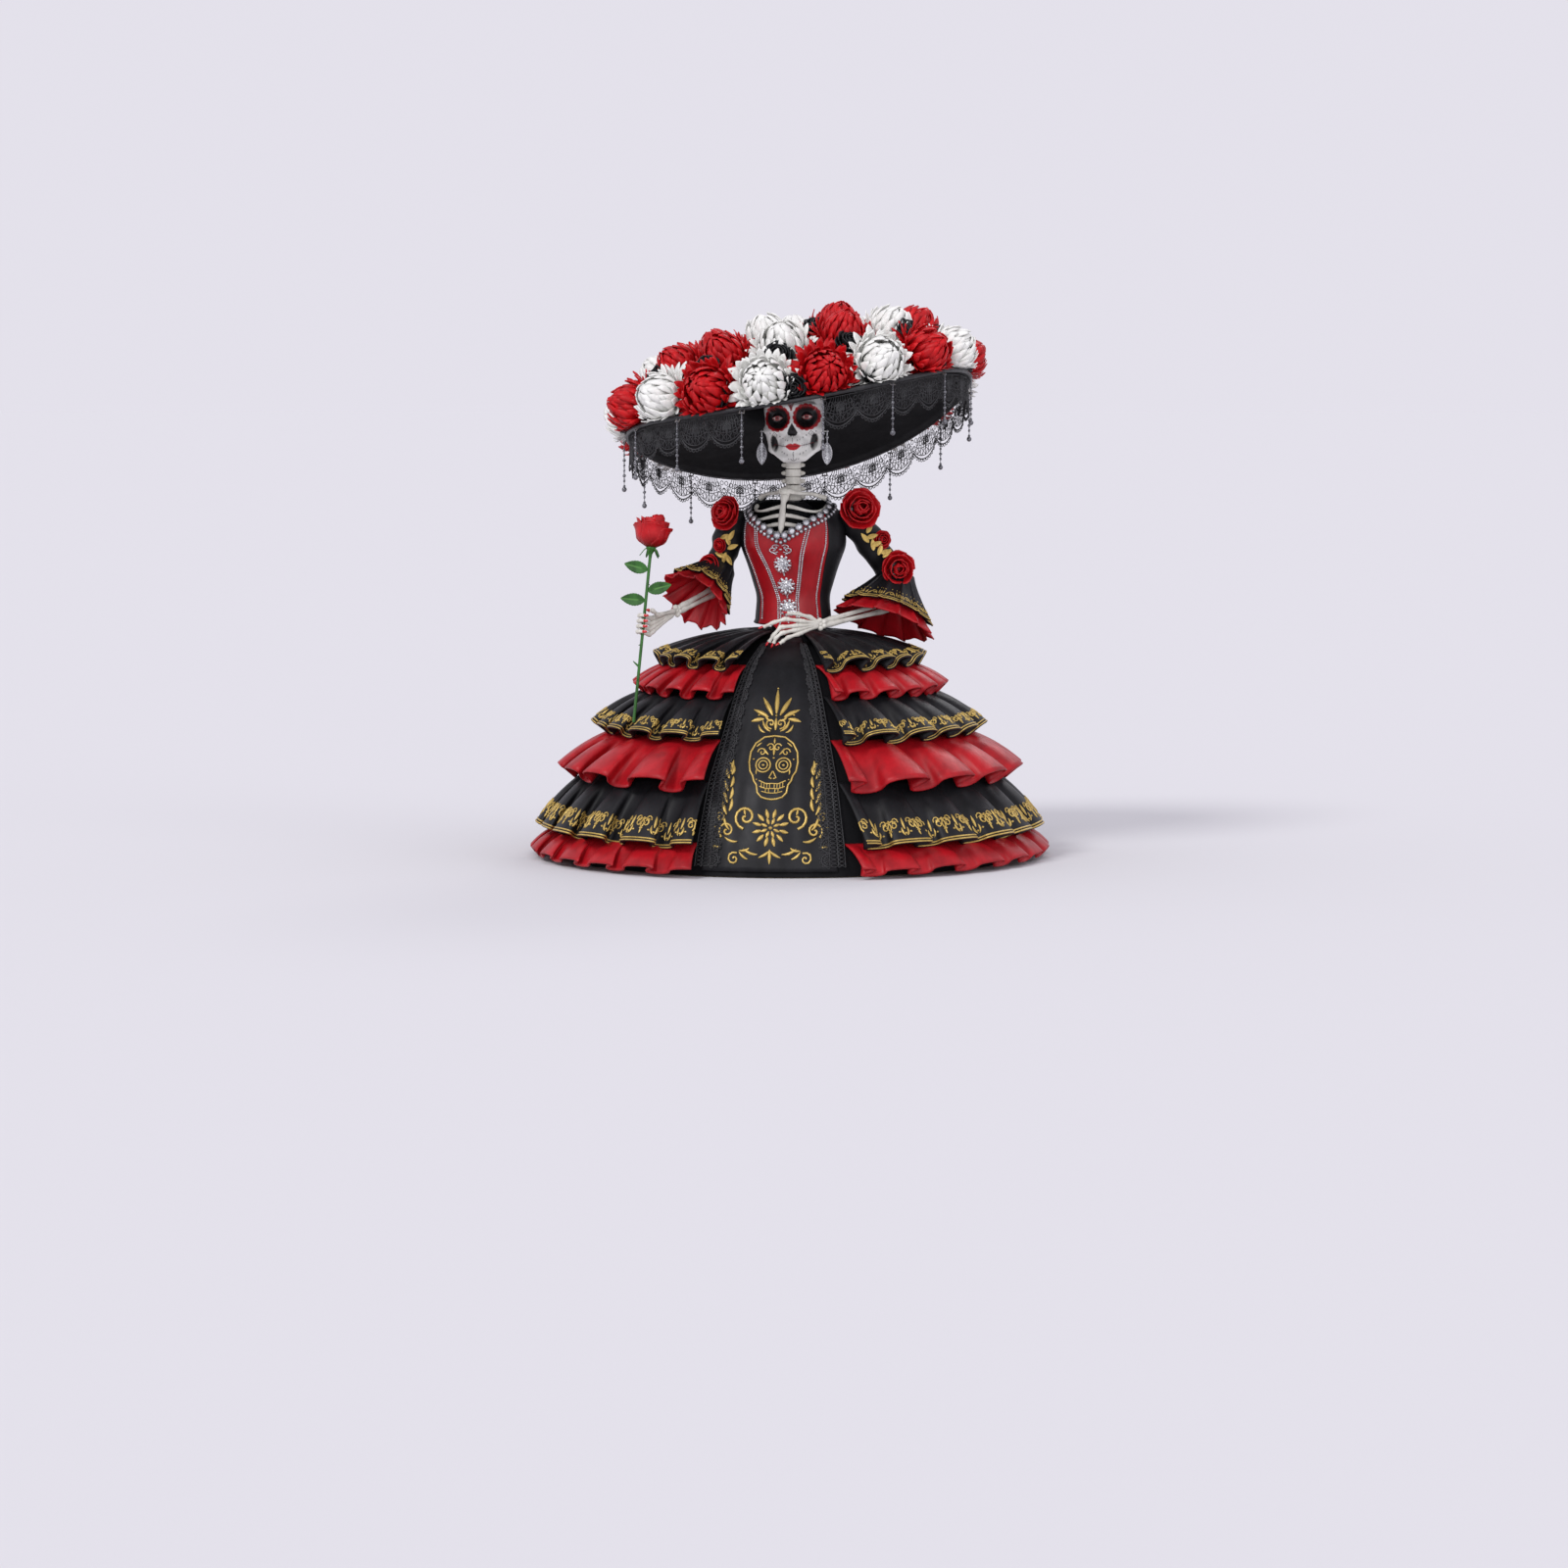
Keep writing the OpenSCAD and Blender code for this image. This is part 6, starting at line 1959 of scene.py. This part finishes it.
# %% [markdown]
# ## The rose in her hand
# The rose lifts out of her hand, so its bloom, stem and leaves ride on their own body. The stem thickens to
# a hip under the bloom, with five sepals that hang free, and has thorns along it.

# %% Bloom, stem and leaves
STEM_LENGTH = 148
STEM_R = 1.3
BLOOM_FOOT = STEM_FOOT + STEM_WAY * STEM_LENGTH
bloom_rings = [
    (petal_mesh([(1.5, 6), (2.6, 16), (2.2, 25), (1.2, 28)], 7, tip=0.8, columns=6, rows=7, wall_mm=0.6), 3),
    (petal_mesh([(2, 4), (5.4, 15), (5.2, 24), (4.2, 28.4)], 11, tip=0.8, columns=6, rows=7, wall_mm=0.6), 4),
    (petal_mesh([(2, 3), (8.4, 13), (8.8, 22), (9.0, 27.6)], 15, tip=0.82, columns=8, rows=7, wall_mm=0.6),
     5),
    (petal_mesh([(2, 2), (11, 10), (12.0, 20), (13.8, 25.4)], 18, tip=0.84, columns=8, rows=8, wall_mm=0.6),
     5),
    (petal_mesh([(2, 1.2), (12.6, 8), (14.0, 17), (17.4, 21.0)], 20, tip=0.86, columns=8, rows=8, wall_mm=0.6,
                wave=0.5), 5)]
bloom = flower_mesh(bloom_rings, (5, 10), 31)
bm = bmesh.new()
add_mesh(bm, bloom, stand(BLOOM_FOOT, STEM_WAY, 0.4))
finish_piece("rose_bloom_petals", bm, ROSE_RED, body="rose", stands_for=["rose_bloom"])


def up_stem(height, out=(0, 0, 0)):
    return STEM_FOOT + STEM_WAY * height + np.array(out, float)


heights = np.array([0, 30, 60, 90, 120, 140, 144, 147, 149, 151])
shoot = unit((-0.7, 0, 0.7))
stem_lines = [(np.array([up_stem(h) for h in heights]),
               np.array([1.0, 1.0, 1.0, 1.0, 1.0, 1.0, 1.3, 2.6, 3.4, 2.2]) * STEM_R),
              (np.array([up_stem(47), up_stem(47) + 4 * shoot, up_stem(47) + 7.2 * shoot]),
               np.array([1.0, 0.8, 0.35]))]
for height, degrees in ((20, 20), (36, 200), (66, 140), (100, 250), (118, 330), (134, 80)):
    out = TO_WRIST * math.cos(math.radians(degrees)) + ACROSS * math.sin(math.radians(degrees))
    if abs(height - 82) > 14:
        stem_lines.append((np.array([up_stem(height, 0.8 * out), up_stem(height - 0.6, 2.6 * out)]),
                           np.array([0.7, 0.1])))
bm = bmesh.new()
bm.verts.layers.float.new("root")
bm.from_mesh(stroke_mesh(stem_lines, 3))
sepal = petal_mesh([(2, 0), (5.5, -1.5), (7.5, -5), (9.5, -8)], 3.2, tip=0.2, wrap=0.4, columns=2, rows=6)
for k in range(5):
    add_mesh(bm, sepal, stand(up_stem(149.5), STEM_WAY, 1.26 * k + 0.3))
finish_piece("rose_stem_green", bm, LEAF_GREEN, body="rose", stands_for=["rose_stem"])

rose_leaf = leaf_mesh(21, 10, 0.14, 0.6, teeth=0.08)
bm = bmesh.new()
bm.verts.layers.float.new("root")
stalks = []
for height, turn in ((130, 165), (112, 15), (104, 175)):
    place = Matrix.Translation(Vector(up_stem(height)) * MM) @ Matrix.Rotation(math.pi / 2, 4, "X") @ \
        Matrix.Rotation(math.radians(turn), 4, "Z")
    add_mesh(bm, rose_leaf, place @ Matrix.Translation((0.6 * MM, 0, 0)))
    stalks.append((np.array([place @ Vector((x * MM, 0, 0)) for x in (0.0, 3.0, 6.5)]) / MM,
                   np.array([0.6, 0.5, 0.3])))
bm.from_mesh(stroke_mesh(stalks, 1))
finish_piece("rose_green_leaves", bm, LEAF_GREEN, body="rose", stands_for=["rose_leaves"])

# %% [markdown]
# ## Plain parts under the cloth
# The parts that hardly show keep their plain shapes from the frame, and only get a finish: raw board for the
# base, wire for the frame inside, and black paint for the shells under the cloth and the flowers.

# %% Paint the hidden parts
WIRE = paint("iron_wire", (0.20, 0.19, 0.18), (0.11, 0.10, 0.10), 0.5, metal=0.8, lumps=0.2, scale=200)
for node, material in (("base_disc", BOARD), ("armature", WIRE), ("skirt_shell", MATT_BLACK),
                       ("torso_core", MATT_BLACK), ("flower_mound", MATT_BLACK), ("pendant_hooks", WIRE)):
    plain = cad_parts[node]
    plain.data.materials.clear()
    plain.data.materials.append(material)
print("painted parts of the frame: 6")
# %% [markdown]
# ## Pendants
# Strings of smoked beads hang from wire hooks on the rim. Each hangs on its own hook and swings, so each is
# a piece of its own that rides on its own body. They are alike: one string is made, then copied to where
# the frame has each one.

# %% One string of beads
PENDANT_LENGTH = 42
BEAD_PITCH = 4.4


def add_bead(bm, z, radius, stretch=1.0, subdivisions=1):
    place = Matrix.Translation((0, 0, z * MM)) @ Matrix.Diagonal((1, 1, stretch, 1))
    bmesh.ops.create_icosphere(bm, subdivisions=subdivisions, radius=radius * MM, matrix=place)


def bead_string():
    bm = bmesh.new()
    turn = np.linspace(0, 2 * math.pi, 17)
    eye = 0.92 * np.c_[0 * turn, np.cos(turn), np.sin(turn)]
    wire = np.array([(0, 0, -1.2), (0, 0, -PENDANT_LENGTH + 3)])
    bm.from_mesh(stroke_mesh([(eye, 0.36), (wire, 0.34)], 1))
    for k in range(1, 8):
        big = k % 3 == 0
        add_bead(bm, -BEAD_PITCH * k - 1.5, 1.65 if big else 1.1, 1.0 if big else 1.5)
        add_bead(bm, -BEAD_PITCH * k - 1.5 + BEAD_PITCH / 2, 0.7)
    add_bead(bm, 2.3 - PENDANT_LENGTH, 2.2, 1.05, 2)
    add_bead(bm, 5.0 - PENDANT_LENGTH, 1.3, 1.3)
    mesh = bpy.data.meshes.new("bead_string")
    bm.to_mesh(mesh)
    bm.free()
    return mesh


string = bead_string()
for k in range(15):
    node = f"pendant_{k + 1:02d}"
    degrees = LACE_START + LACE_SWEEP * k / 14
    hook = hat_point(152.5, degrees, -0.7) - (0, 0, 3.6)
    out = unit((hook - HAT_AT) * (1, 1, 0))
    bm = bmesh.new()
    turn = Matrix.Rotation(math.atan2(-out[0], out[1]), 4, "Z")
    add_mesh(bm, string, Matrix.Translation(Vector(hook) * MM) @ turn)
    finish_piece(node + "_beads", bm, SMOKED_BEAD, body=node, stands_for=[node])
print("pendants: 15, each", len(string.polygons), "faces")

# %% The sizes of the frame and of the finished figure
def plain(box):
    return [[float(value) for value in corner] for corner in box]


{"frame": plain(frame_box), "finished": plain(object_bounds())}
